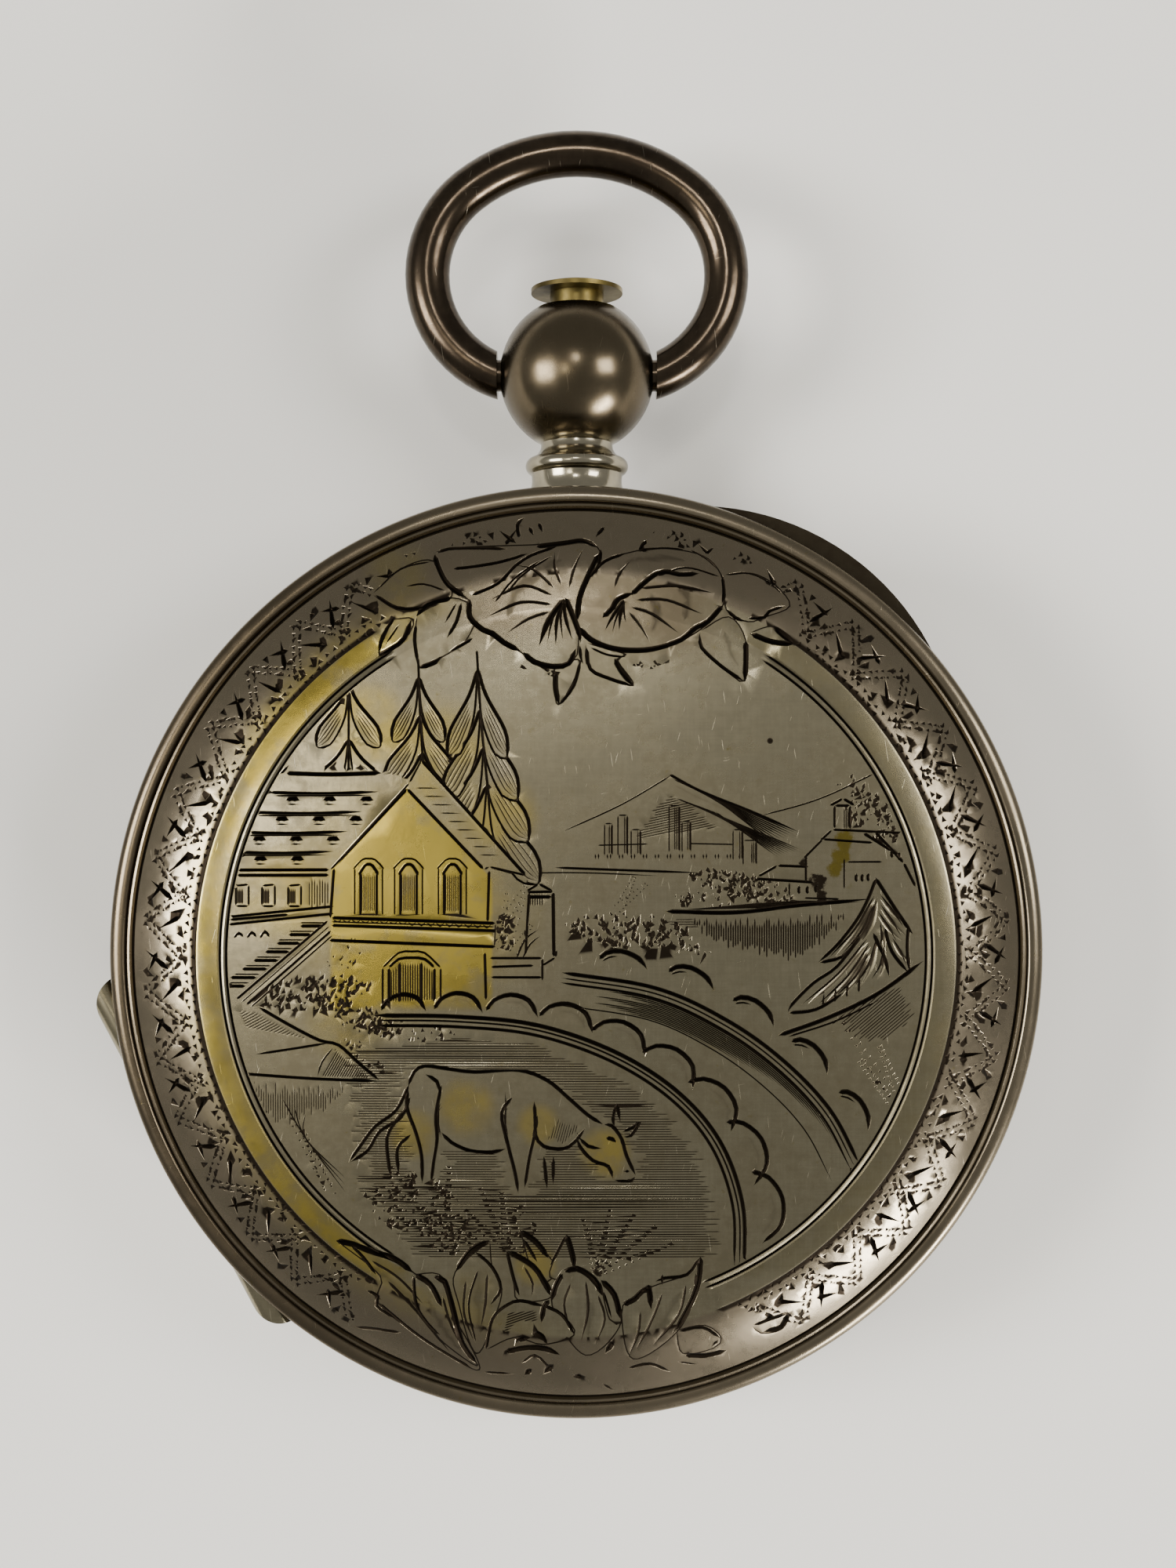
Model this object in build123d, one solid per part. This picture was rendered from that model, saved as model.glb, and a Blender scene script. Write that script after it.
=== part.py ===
from build123d import *
from math import atan2, cos, degrees, hypot, radians, sin
import os

# An open-face, key-wound, silver fob watch, in millimetres.
# The crystal's flat front face lies in z = 0, and the watch rests on it with its engraved back up (+Z).
# The pendant and the bow point along +Y. The movement's centre is on the Z axis.
# Every solid is one real piece of the watch, and clearances between pieces are named below.

# ---- clearances ----
running_gap = 0.02          # round shaft in its hole, on the radius
set_gap = 0.01              # jewel, pin or dial foot in its seat, on the radius
hinge_gap = 0.03            # moving knuckle on its pin, on the radius
knuckle_gap = 0.12          # between knuckles, along the hinge
cover_gap = 0.05            # between a closed cover and the case band
part_gap = 0.2              # between pieces that stand near each other
end_shake = 0.06            # between an arbor's shoulder and the plate or bridge

# ---- case, radii ----
movement_r = 16.7
movement_gap = 0.2          # movement in the case bore, on the radius
band_wall = 2.4
rim_overhang = 0.7          # back cover's bead past the band
ledge_width = 0.9           # ledge that the main plate seats on
ledge_height = 0.6

# ---- case and movement, heights from the crystal up ----
crystal_thickness = 1.0
crystal_air = 1.1           # crystal to minute hand
hand_thickness = 0.15
hand_air = 0.35
dial_air = 0.45             # hour hand to dial
dial_thickness = 0.5
motion_space = 1.1          # dial to main plate, for the motion work
plate_thickness = 1.2
train_space = 2.6           # main plate to bridges
bridge_thickness = 0.8
cuvette_air = 0.6
cuvette_thickness = 0.3
cover_thickness = 0.4
cover_rise = 2.75           # cover's seat to the top of its dome
slope_width = 4.1           # cover's rim and border, on the radius
ring_width = 1.0            # polished ring between the border and the field

# ---- crystal and bezel ----
crystal_r = 15.8
crystal_flat_r = 13.5
crystal_flange = 0.5

# ---- hinges ----
hinge_direction = 208       # degrees from +X
knuckle_r = 0.75
hinge_pin_r = 0.3
hinge_half_length = 8.4
hinge_end_round = 1.6       # outer corners of the hinge, seen from the back
hinge_pin_half = 7.2
seat_reach = 0.2            # hinge seat past the hinge's axis
cover_knuckle_half = 2.5
cuvette_knuckle_length = 1.2

# ---- thumb lip on the back cover ----
lip_direction = 56.5
lip_reach = 0.74            # past the cover's bead
lip_curve_r = 11.4
lip_thickness = 0.4

# ---- pendant, push piece and bow ----
ball_r = 3.46
ball_height = 6.2           # ball's centre past the band's outside
foot_r = 2.5
collar_r = 2.3
neck_r = 1.6
push_stem_r = 1.2
push_rod_r = 0.8
push_collar_r = 1.5
push_cap_r = 2.05
push_cap_thickness = 0.55
push_travel = 0.5
spring_wire_r = 0.14
spring_turns = 5
bow_wire_r = 1.0
bow_half_width = 6.7        # to the wire's centre
bow_half_height = 5.45
bow_side_r = 4.8            # bend of the wire's sides
bow_pin_r = 0.7
bow_air = 0.1               # bow's ends to the ball
bow_pin_room = 0.41         # pin's inner end to the bottom of its hole

# ---- cover catch ----
catch_thickness = 0.4
catch_half_width = 1.2
catch_arm_angle = 30

# ---- movement: wheels and pinions ----
centre_teeth = 64
centre_leaves = 10
barrel_teeth = 80
third_teeth = 60
third_leaves = 8
fourth_teeth = 60
fourth_leaves = 8
escape_leaves = 6
escape_teeth = 15
cannon_leaves = 12
minute_teeth = 36
minute_leaves = 10
hour_teeth = 40
barrel_module = 0.165
centre_module = 0.15
third_module = 0.13
fourth_module = 0.115
motion_module = 0.13
wheel_thickness = 0.25
barrel_direction = 60       # degrees from +X, seen from the back
third_direction = -60
fourth_direction = 200      # from the third arbor
escape_direction = 180      # from the fourth arbor
balance_direction = 120     # from the escape arbor
minute_direction = -20
escape_r = 2.3
cylinder_r = 0.4            # balance cylinder
escape_air = 0.06           # escape teeth to the cylinder
balance_r = 5.1
balance_rim = 0.5
arbor_r = 0.35
pivot_r = 0.15
pivot_length = 0.6
centre_arbor_r = 0.45
cannon_r = 0.64
hour_pipe_wall = 0.27
drum_r = 6.25
drum_wall = 0.35
barrel_arbor_r = 0.7
ratchet_r = 2.6
ratchet_teeth = 24
square_side = 0.9

# ---- bridges, screws and jewels ----
foot_inset = 3.2            # a bridge foot's centre from the movement's edge
bridge_foot_r = 1.5
screw_head_r = 0.75
screw_head_height = 0.25
screw_r = 0.35
screw_slot = 0.2
jewel_r = 0.55
jewel_thickness = 0.35

# ---- tooth form ----
wheel_tooth_share = 0.42    # of the pitch, at the pitch circle
leaf_share = 0.3
wheel_addendum = 0.8        # of the module
leaf_addendum = 0.6
dedendum = 1.3

# ---- worked out ----
bore_r = movement_r + movement_gap
band_r = bore_r + band_wall
rim_r = band_r + rim_overhang
minute_hand_z = crystal_thickness + crystal_air
hour_hand_z = minute_hand_z + hand_thickness + hand_air
dial_z = hour_hand_z + hand_thickness + dial_air
dial_back = dial_z + dial_thickness
plate_z = dial_back + motion_space
plate_back = plate_z + plate_thickness
bridge_z = plate_back + train_space
bridge_top = bridge_z + bridge_thickness
cuvette_z = bridge_top + cuvette_air
band_front = dial_z - part_gap
band_back = cuvette_z - 0.5
cover_z = band_back + cover_gap
cover_top = cover_z + cover_rise
cover_wall_r = band_r - 1.1                 # inside of the cover's rim
cuvette_r = cover_wall_r - 2 * part_gap
hinge_x = rim_r - knuckle_r - 0.3
hour_pipe_r = cannon_r + running_gap + hour_pipe_wall
knuckle_room = knuckle_r + 0.1
back_axis_z = band_back - knuckle_room
front_axis_z = band_front + knuckle_room
pendant_z = (band_front + band_back) / 2
ball_y = band_r + ball_height
bridge_foot_place = movement_r - foot_inset
keyhole_r = square_side / 2 + 0.7


def polar(radius, angle):
    return (radius * cos(radians(angle)), radius * sin(radians(angle)))


def shifted(place, distance, angle):
    dx, dy = polar(distance, angle)
    return (place[0] + dx, place[1] + dy)


def direction(start, end):
    return degrees(atan2(end[1] - start[1], end[0] - start[0]))


def rod(place, radius, bottom, top):
    return Pos(place[0], place[1], (bottom + top) / 2) * Cylinder(radius, top - bottom)


def tube(place, outer, inner, bottom, top):
    return rod(place, outer, bottom, top) - rod(place, inner, bottom, top)


def block(x_range, y_range, z_range):
    sizes = [high - low for low, high in (x_range, y_range, z_range)]
    middle = [(high + low) / 2 for low, high in (x_range, y_range, z_range)]
    return Pos(*middle) * Box(*sizes)


def outline(points):
    return make_face(Polyline(*points, close=True))


def closed_path(start, steps):
    """Lines to each point, and arcs where a step gives a point on the way and the end."""
    edges = []
    here = start
    for step in list(steps) + [start]:
        if isinstance(step[0], tuple):
            edges.append(ThreePointArc(here, step[0], step[1]))
            here = step[1]
        else:
            edges.append(Line(here, step))
            here = step
    return make_face(Wire(edges))


def turned(start, *steps):
    """A profile of (radius, z) turned about the Z axis."""
    return revolve(Plane.XZ * closed_path(start, steps), Axis.Z)


def turned_on_pendant(start, *steps):
    """A profile of (radius, y) turned about the pendant's axis."""
    return Pos(0, 0, pendant_z) * revolve(closed_path(start, steps), Axis.Y)


def capsule(start, end, half_width, bottom, top):
    length = hypot(end[0] - start[0], end[1] - start[1])
    middle = Pos((start[0] + end[0]) / 2, (start[1] + end[1]) / 2, bottom)
    flat = middle * Rot(0, 0, direction(start, end)) * SlotCenterToCenter(length, 2 * half_width)
    return extrude(flat, top - bottom)


def dome(edge_r, edge_z, top_z):
    """An arc step from a dome's edge to its top on the axis, square to the axis."""
    rise = top_z - edge_z
    radius = (edge_r ** 2 + rise ** 2) / (2 * rise)
    way_z = top_z - radius + (radius ** 2 - edge_r ** 2 / 4) ** 0.5
    return ((edge_r / 2, way_z), (0, top_z))


def save(name, piece):
    export_step(piece, f"parts/{name}.step")


# ---- gears ----

def pitch_r(teeth, module):
    return teeth * module / 2


def toothed(teeth, module, bottom, top, phase, share, addendum):
    tip = pitch_r(teeth, module) + addendum * module
    root = pitch_r(teeth, module) - dedendum * module
    half = share * 180 / teeth
    points = []
    for tooth in range(teeth):
        middle = phase + 360 * tooth / teeth
        points.append(polar(root, middle - 1.35 * half))
        points.append(polar(tip, middle - 0.5 * half))
        points.append(polar(tip, middle + 0.5 * half))
        points.append(polar(root, middle + 1.35 * half))
    return extrude(Pos(0, 0, bottom) * outline(points), top - bottom)


def wheel(teeth, module, bottom, phase=0.0, arms=4, hub=0.9):
    """A wheel with its rim, arms and hub."""
    top = bottom + wheel_thickness
    disc = toothed(teeth, module, bottom, top, phase, wheel_tooth_share, wheel_addendum)
    window = pitch_r(teeth, module) - 0.5 - dedendum * module
    spokes = rod((0, 0), hub, bottom, top)
    for arm in range(arms):
        spoke = block((0, window + 0.1), (-0.25, 0.25), (bottom, top))
        spokes += Rot(0, 0, 360 * arm / arms + 20) * spoke
    return disc - rod((0, 0), window, bottom, top) + spokes


def pinion(leaves, module, bottom, top, phase=0.0):
    return toothed(leaves, module, bottom, top, phase, leaf_share, leaf_addendum)


def saw_wheel(teeth, root, tip, bottom, top, phase=0.0):
    """Pointed teeth that lean one way, as on a ratchet."""
    points = []
    for tooth in range(teeth):
        start = phase + 360 * tooth / teeth
        points.append(polar(root, start))
        points.append(polar(tip, start + 0.1 * 360 / teeth))
        points.append(polar(root, start + 0.9 * 360 / teeth))
    return extrude(Pos(0, 0, bottom) * outline(points), top - bottom)


def meshed_phase(driver_phase, driver_teeth, driven_teeth, line):
    """The driven gear's phase that puts its gap on the driver's tooth, along the line of centres."""
    turn = (driver_phase - line) * driver_teeth / driven_teeth
    return line + 180 + 180 / driven_teeth - turn


def staff(place, middle_r, top_z):
    """An arbor with a pivot in the main plate and a pivot that ends in the bridge."""
    body = rod(place, middle_r, plate_back + end_shake, top_z - end_shake)
    return body + rod(place, pivot_r, plate_back - pivot_length, top_z + pivot_length - 0.1)


# ---- places of the movement's arbors, seen from the back ----
centre = (0.0, 0.0)
barrel = shifted(centre, barrel_module * (barrel_teeth + centre_leaves) / 2, barrel_direction)
third = shifted(centre, centre_module * (centre_teeth + third_leaves) / 2, third_direction)
fourth = shifted(third, third_module * (third_teeth + fourth_leaves) / 2, fourth_direction)
escape = shifted(fourth, fourth_module * (fourth_teeth + escape_leaves) / 2, escape_direction)
balance = shifted(escape, escape_r + escape_air + cylinder_r, balance_direction)
motion_distance = motion_module * (cannon_leaves + minute_teeth) / 2
minute_post = shifted(centre, motion_distance, minute_direction)
hour_module = 2 * motion_distance / (minute_leaves + hour_teeth)

# ---- heights in the train ----
centre_wheel_z = plate_back + 0.15
centre_pinion_z = centre_wheel_z + wheel_thickness + 0.1
barrel_teeth_z = centre_pinion_z + 0.05
third_wheel_z = centre_pinion_z + 0.25
fourth_wheel_z = third_wheel_z + 0.35
escape_wheel_z = plate_back + 0.2
low_cock_z = fourth_wheel_z + 0.4
low_cock_top = low_cock_z + 0.35
balance_z = low_cock_top + 0.15
balance_height = 0.35
hairspring_z = balance_z + balance_height + 0.05
balance_cock_z = bridge_z + 0.15
balance_cock_top = balance_cock_z + 0.7
drum_top = bridge_z - 0.3

# ---- feet of the bridges ----
barrel_feet = [polar(bridge_foot_place, 6.5), polar(bridge_foot_place, 114)]
centre_foot = polar(bridge_foot_place - 0.8, 150)
third_foot = polar(bridge_foot_place, -60)
fourth_foot = polar(bridge_foot_place, -103)
escape_foot = polar(bridge_foot_place - 0.5, -131)
balance_foot = polar(bridge_foot_place + 0.7, 198.5)
feet = barrel_feet + [centre_foot, third_foot, fourth_foot, escape_foot, balance_foot]
case_screw_places = [polar(bore_r - ledge_width - screw_r - 0.4, angle) for angle in (40, 250)]
dial_foot_places = [polar(movement_r - 0.8, angle) for angle in (75, 190, 310)]


# ---- case ----

def on_hinge(piece):
    return Rot(0, 0, hinge_direction) * piece


def hinge_rod(radius, low, high, z):
    middle = Pos(hinge_x, (low + high) / 2, z)
    return middle * Rot(90, 0, 0) * Cylinder(radius, high - low)


def make_case_band():
    ledge_r = bore_r - ledge_width
    recess_r = bore_r + 0.7
    body = turned(
        (recess_r, band_front), (band_r, band_front), (band_r, band_back), (bore_r, band_back),
        (bore_r, plate_back + ledge_height), (ledge_r, plate_back + ledge_height),
        (ledge_r, plate_back), (bore_r, plate_back), (bore_r, band_front + 0.6),
        (recess_r, band_front + 0.6))
    # seats that carry the hinge tubes out past the round band
    seat_low = band_front + 0.7
    seat_high = back_axis_z + 0.5 * knuckle_r
    seat_x = (bore_r + 0.4, hinge_x + seat_reach)
    body += on_hinge(block(seat_x, (-hinge_half_length, hinge_half_length), (seat_low, seat_high)))
    moving = cover_knuckle_half + cuvette_knuckle_length + 2.5 * knuckle_gap
    bezel_moving = cover_knuckle_half + knuckle_gap
    beyond = hinge_half_length + 1
    for axis_z, half, side in ((back_axis_z, moving, 1), (front_axis_z, bezel_moving, -1)):
        z_range = sorted((axis_z - side * knuckle_room, axis_z + side * 3))
        pocket = block((hinge_x - knuckle_room, hinge_x + 3), (-half, half), z_range)
        body -= on_hinge(pocket)
        for low, high in ((half, hinge_half_length), (-hinge_half_length, -half)):
            body += on_hinge(hinge_rod(knuckle_r, low, high, axis_z))
        body -= on_hinge(hinge_rod(hinge_pin_r + set_gap, -beyond, beyond, axis_z))
    # rounded outer corners of the hinge
    round_x = hinge_x + knuckle_r - hinge_end_round
    for side in (-1, 1):
        round_y = side * (hinge_half_length - hinge_end_round)
        corner = block((round_x, hinge_x + 2), sorted((round_y, side * beyond)), (0, cover_z))
        body -= on_hinge(corner - rod((round_x, round_y), hinge_end_round, -1, cover_z + 1))
    # room for the catch, open to the bore, and the push rod's hole
    channel_r = cover_wall_r - 0.15
    channel = tube(centre, channel_r, ledge_r, plate_back + ledge_height + 0.4, band_back + 1)
    reach = channel_r + 2
    wedge = outline([(0, 0), polar(reach / cos(radians(34)), 56), polar(reach / cos(radians(34)), 124)])
    body -= channel & extrude(wedge, band_back + 1)
    half = catch_half_width + 0.15
    slot_z = (pendant_z - push_rod_r - 0.2, band_back + 1)
    body -= block((-half, half), (bore_r - 0.1, catch_y + 0.15), slot_z)
    hole = Pos(0, band_r, pendant_z) * Rot(90, 0, 0) * Cylinder(push_rod_r + running_gap, 4)
    return body - (hole & block((-2, 2), (catch_y, band_r + 2), (0, band_back)))


def make_hinge_pin(axis_z):
    return on_hinge(hinge_rod(hinge_pin_r, -hinge_pin_half, hinge_pin_half, axis_z))


def make_bezel():
    seat_z = crystal_thickness + 0.8 + running_gap
    groove_r = crystal_r + running_gap
    flange_z = seat_z - crystal_flange - 2 * running_gap
    skirt_r = bore_r + 0.35
    body = turned(
        (crystal_r - 0.5, seat_z), (groove_r, seat_z), (groove_r, flange_z),
        (crystal_r - 0.25, flange_z - 0.19), (crystal_r - 0.1, 0.75),
        ((crystal_r + 0.25, 0.58), (crystal_r + 0.7, 0.65)),
        ((band_r - 0.85, 1.45), (band_r, band_front - cover_gap - 0.5)), (band_r, band_front - cover_gap),
        (skirt_r, band_front - cover_gap), (skirt_r, band_front + 0.5), (skirt_r - 0.3, band_front + 0.5),
        (skirt_r - 0.3, seat_z + 0.6), (crystal_r - 0.5, seat_z + 0.6))
    half = cover_knuckle_half
    body += on_hinge(hinge_rod(knuckle_r, -half, half, front_axis_z))
    web_x = (hinge_x - 0.3, hinge_x + 0.25)
    body += on_hinge(block(web_x, (-half, half), (band_front - cover_gap - 0.3, front_axis_z)))
    return body - on_hinge(hinge_rod(hinge_pin_r + hinge_gap, -half - 1, half + 1, front_axis_z))


def make_crystal():
    seat_z = crystal_thickness + 0.8
    return turned(
        (0, 0), (crystal_flat_r, 0), ((crystal_flat_r + 1.0, 0.32), (crystal_r - 0.6, 0.9)),
        (crystal_r, seat_z - crystal_flange), (crystal_r, seat_z), (crystal_r - 0.5, seat_z),
        ((crystal_r - 1.3, 1.25), (crystal_flat_r - 0.3, crystal_thickness)), (0, crystal_thickness))


def make_back_cover():
    slope_z = cover_top - 0.4
    inner = cover_thickness
    slope_r = rim_r - slope_width
    field_r = slope_r - ring_width
    field_z = slope_z + 0.1
    body = turned(
        (cover_wall_r, cover_z), (rim_r - 0.4, cover_z),
        ((rim_r, cover_z + 0.35), (rim_r - 0.35, cover_z + 0.7)),
        (rim_r - 1.1, cover_z + 0.95), ((rim_r - 2.4, slope_z - 0.7), (slope_r, slope_z)),
        (field_r, field_z), dome(field_r, field_z, cover_top), (0, cover_top - inner),
        (dome(field_r, field_z - inner, cover_top - inner)[0], (field_r, field_z - inner)),
        (slope_r - 0.1, slope_z - inner),
        ((rim_r - 2.55, slope_z - 0.7 - inner), (cover_wall_r, cover_z + 0.8)))
    low = cover_knuckle_half
    high = low + cuvette_knuckle_length + 2.5 * knuckle_gap
    notch_z = (cover_z - 1, cuvette_z + 0.25)
    for y_range in ((low, high), (-high, -low)):
        body -= on_hinge(block((cuvette_r - 1, hinge_x + 0.2), y_range, notch_z))
    return body


def make_back_cover_lip():
    along = rim_r + lip_reach - lip_curve_r
    crescent = rod(polar(along, lip_direction), lip_curve_r, cover_z - lip_thickness, cover_z)
    return crescent - rod(centre, band_r + 0.1, cover_z - 1, cover_z + 1)


def make_back_cover_knuckle():
    half = cover_knuckle_half
    knuckle = hinge_rod(knuckle_r, -half, half, back_axis_z)
    knuckle += block((hinge_x + 0.05, hinge_x + 0.7), (-half, half), (back_axis_z, cover_z))
    return on_hinge(knuckle - hinge_rod(hinge_pin_r + hinge_gap, -half - 1, half + 1, back_axis_z))


def make_cuvette():
    top = cuvette_z + cuvette_thickness
    skirt = band_back + 0.03
    body = turned(
        (0, cuvette_z), (cuvette_r - 0.4, cuvette_z), (cuvette_r - 0.4, skirt), (cuvette_r, skirt),
        (cuvette_r, top - 0.1), (cuvette_r - 0.1, top), (0, top))
    low = cover_knuckle_half + knuckle_gap
    high = low + cuvette_knuckle_length
    for y0, y1 in ((low, high), (-high, -low)):
        arm = hinge_rod(knuckle_r, y0, y1, back_axis_z)
        arm += block((hinge_x - 0.65, hinge_x + 0.1), (y0, y1), (back_axis_z, cuvette_z + 0.1))
        arm += block((cuvette_r - 0.9, hinge_x + 0.1), (y0, y1), (cuvette_z - 0.25, cuvette_z + 0.1))
        body += on_hinge(arm)
    body -= on_hinge(hinge_rod(hinge_pin_r + hinge_gap, -high - 1, high + 1, back_axis_z))
    notch = catch_half_width + 0.4
    notch_y = (catch_y - catch_thickness - push_travel - 0.2, cuvette_r + 1)
    body -= block((-notch, notch), notch_y, (skirt - 1, top + 1))
    for place in (centre, barrel):
        body -= rod(place, keyhole_r, cuvette_z - 1, top + 1)
    return body


# ---- pendant, push piece, catch and bow ----
catch_y = cover_wall_r - 0.2            # outside of the catch
neck_meets_ball = ball_y - (ball_r ** 2 - neck_r ** 2) ** 0.5
ball_top = ball_y + 0.853 * ball_r
ball_flat_r = (ball_r ** 2 - (ball_top - ball_y) ** 2) ** 0.5
spring_room_r = push_collar_r + 0.25
spring_room_top = ball_top - 1.25
spring_room_floor = spring_room_top - push_travel - 2.7
collar_y = spring_room_top - 0.1 - 0.5
bow_hole_floor = spring_room_r + 0.4    # from the pendant's axis


def bow_end_rod(radius, inner, outer):
    length = outer - inner
    rod_at = Rot(0, 90, 0) * Cylinder(radius, length)
    middle = (inner + outer) / 2
    return Pos(middle, ball_y, pendant_z) * rod_at + Pos(-middle, ball_y, pendant_z) * rod_at


def make_pendant():
    rod_hole = push_rod_r + running_gap
    stem_hole = push_stem_r + running_gap
    body = turned_on_pendant(
        (rod_hole, band_r - 0.6), (foot_r, band_r - 0.6), (foot_r, band_r + 0.55),
        ((foot_r - 0.38, band_r + 1.0), (neck_r + 0.45, band_r + 1.75)),
        ((collar_r, band_r + 2.1), (neck_r + 0.35, band_r + 2.5)),
        ((neck_r + 0.05, neck_meets_ball - 0.3), (neck_r, neck_meets_ball)),
        ((ball_r, ball_y), (ball_flat_r, ball_top)), (stem_hole, ball_top), (stem_hole, spring_room_top),
        (spring_room_r, spring_room_top), (spring_room_r, spring_room_floor), (rod_hole, spring_room_floor))
    body -= rod(centre, band_r, 0, band_back + 2)
    return body - bow_end_rod(bow_pin_r + running_gap, bow_hole_floor, ball_r + 1)


def make_push_piece():
    under = ball_top + push_travel + 0.2
    top = under + push_cap_thickness
    return turned_on_pendant(
        (0, catch_y + 0.05), (push_rod_r, catch_y + 0.05), (push_rod_r, collar_y), (push_collar_r, collar_y),
        (push_collar_r, collar_y + 0.5), (push_stem_r, collar_y + 0.5), (push_stem_r, under),
        (push_cap_r, under), (push_cap_r, under + 0.2), dome(push_cap_r, under + 0.2, top))


def make_push_spring():
    radius = push_rod_r + 0.1 + spring_wire_r
    height = collar_y - spring_room_floor - 2 * spring_wire_r - 0.1
    path = Helix(height / spring_turns, height, radius)
    section = Plane(path @ 0, z_dir=path % 0) * Circle(spring_wire_r)
    coil = sweep(section, path)
    start = spring_room_floor + spring_wire_r + 0.05
    return Pos(0, start, pendant_z) * Rot(-90, 0, 0) * coil


def make_cover_catch():
    low_y = catch_y - catch_thickness
    nose_z = (pendant_z - push_rod_r, cuvette_z - 0.05)
    nose = block((-catch_half_width, catch_half_width), (low_y, catch_y), nose_z)
    arm_r = low_y + 0.1
    arm = tube(centre, arm_r, arm_r - 0.3, plate_back + ledge_height + 0.6, band_back - 0.2)
    reach = 2 * band_r
    wedge = outline([(0, 0), polar(reach, 90 - catch_arm_angle), polar(reach, 90 + catch_arm_angle)])
    return nose + (arm & extrude(wedge, band_back + 1))


def make_bow():
    side_x = bow_half_width - bow_side_r
    top_r = (side_x ** 2 + bow_half_height ** 2 - bow_side_r ** 2) / (2 * (bow_half_height - bow_side_r))
    end_x = ball_r + bow_air
    bow_y = ball_y + (bow_side_r ** 2 - (end_x - side_x) ** 2) ** 0.5
    join = degrees(atan2(top_r - bow_half_height, side_x))
    start = -degrees(atan2((bow_side_r ** 2 - (end_x - 0.7 - side_x) ** 2) ** 0.5, end_x - 0.7 - side_x))
    top_centre = (0, bow_y + bow_half_height - top_r)
    path = Wire([
        CenterArc((side_x, bow_y), bow_side_r, start, join - start),
        CenterArc(top_centre, top_r, join, 180 - 2 * join),
        CenterArc((-side_x, bow_y), bow_side_r, 180 - join, join - start)])
    section = Plane(path @ 0, z_dir=path % 0) * Circle(bow_wire_r)
    wire = Pos(0, 0, pendant_z) * sweep(section, path)
    wire -= block((-end_x, end_x), (0, ball_y + bow_wire_r + 1), (0, band_back + 5))
    return wire + bow_end_rod(bow_pin_r, bow_hole_floor + bow_pin_room, end_x + 0.1)


# ---- dial side ----

def make_main_plate():
    inner_rim = movement_r - 1.5
    body = turned(
        (0, plate_z), (inner_rim, plate_z), (inner_rim, dial_back), (movement_r, dial_back),
        (movement_r, plate_back), (0, plate_back))
    body -= rod(centre, centre_arbor_r + running_gap, plate_z - 1, plate_back + 1)
    body += rod(minute_post, 0.3, dial_back + 0.1, plate_z + 0.1)
    for place in (third, fourth, escape, balance):
        body -= rod(place, pivot_r + running_gap, plate_back - 0.7, plate_back + 1)
    body -= rod(barrel, barrel_arbor_r + running_gap, plate_back - 0.7, plate_back + 1)
    for place in feet + case_screw_places:
        body -= rod(place, screw_r + set_gap, plate_back - 0.8, plate_back + 1)
    for place in dial_foot_places:
        body -= rod(place, 0.4 + set_gap, dial_back - 1, dial_back + 1.05)
    return body


def make_dial():
    hole_r = hour_pipe_r + running_gap + part_gap
    face = tube(centre, movement_r - 0.3, hole_r, dial_z, dial_back)
    for place in dial_foot_places:
        face += rod(place, 0.4, dial_back - 0.1, dial_back + 1)
    return face


def make_hand(length, eye_place, eye_r, hub_r, bore, z, angle):
    """A slim tapered hand with a pierced round eye and a pointed tip."""
    half = 0.34
    points = [(-half, 0), (half, 0), (0.6 * half, eye_place), (-0.6 * half, eye_place)]
    flat = outline(points) + Circle(hub_r)
    flat += Pos(0, eye_place) * Circle(eye_r)
    tip_base = eye_place + 0.8 * eye_r
    flat += outline([(-0.5 * half, tip_base), (0.5 * half, tip_base), (0.05, length), (-0.05, length)])
    flat -= Pos(0, eye_place + 0.12 * eye_r) * Circle(0.62 * eye_r)
    flat -= Circle(bore)
    return Rot(0, 0, angle) * Pos(0, 0, z) * extrude(flat, hand_thickness)


def make_cannon_pinion():
    leaves = pinion(cannon_leaves, motion_module, plate_z - 0.45, plate_z - 0.1, cannon_phase)
    body = leaves + rod(centre, cannon_r, minute_hand_z, plate_z - 0.1)
    return body - rod(centre, centre_arbor_r, 0, plate_z + 1)


def make_hour_wheel():
    z = dial_back + 0.15
    gear = toothed(hour_teeth, hour_module, z, z + 0.2, hour_phase, wheel_tooth_share, wheel_addendum)
    bore = cannon_r + running_gap
    pipe = rod(centre, hour_pipe_r, hour_hand_z, z + 0.1)
    return gear + pipe - rod(centre, bore, 0, plate_z + 1)


def make_minute_wheel():
    z = plate_z - 0.375
    body = Pos(*minute_post, 0) * toothed(
        minute_teeth, motion_module, z, z + 0.2, minute_phase, wheel_tooth_share, wheel_addendum)
    body += Pos(*minute_post, 0) * pinion(minute_leaves, hour_module, dial_back + 0.12, z, minute_leaf_phase)
    return body - rod(minute_post, 0.3 + running_gap, 0, plate_z + 1)


cannon_phase = 0.0
minute_phase = meshed_phase(cannon_phase, cannon_leaves, minute_teeth, minute_direction)
minute_leaf_phase = 4.0
back_to_centre = minute_direction + 180
hour_phase = meshed_phase(minute_leaf_phase, minute_leaves, hour_teeth, back_to_centre)


# ---- train ----

def make_centre_wheel():
    body = wheel(centre_teeth, centre_module, centre_wheel_z)
    body += pinion(centre_leaves, barrel_module, centre_pinion_z, centre_pinion_z + 0.5)
    body += rod(centre, arbor_r + 0.2, plate_back + 0.05, bridge_z - 0.06)
    body += rod(centre, centre_arbor_r, minute_hand_z - 0.15, bridge_top)
    side = 2 ** 0.5 * centre_arbor_r
    return body + block((-side / 2, side / 2), (-side / 2, side / 2), (bridge_top - 0.1, cuvette_z - 0.2))


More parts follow.
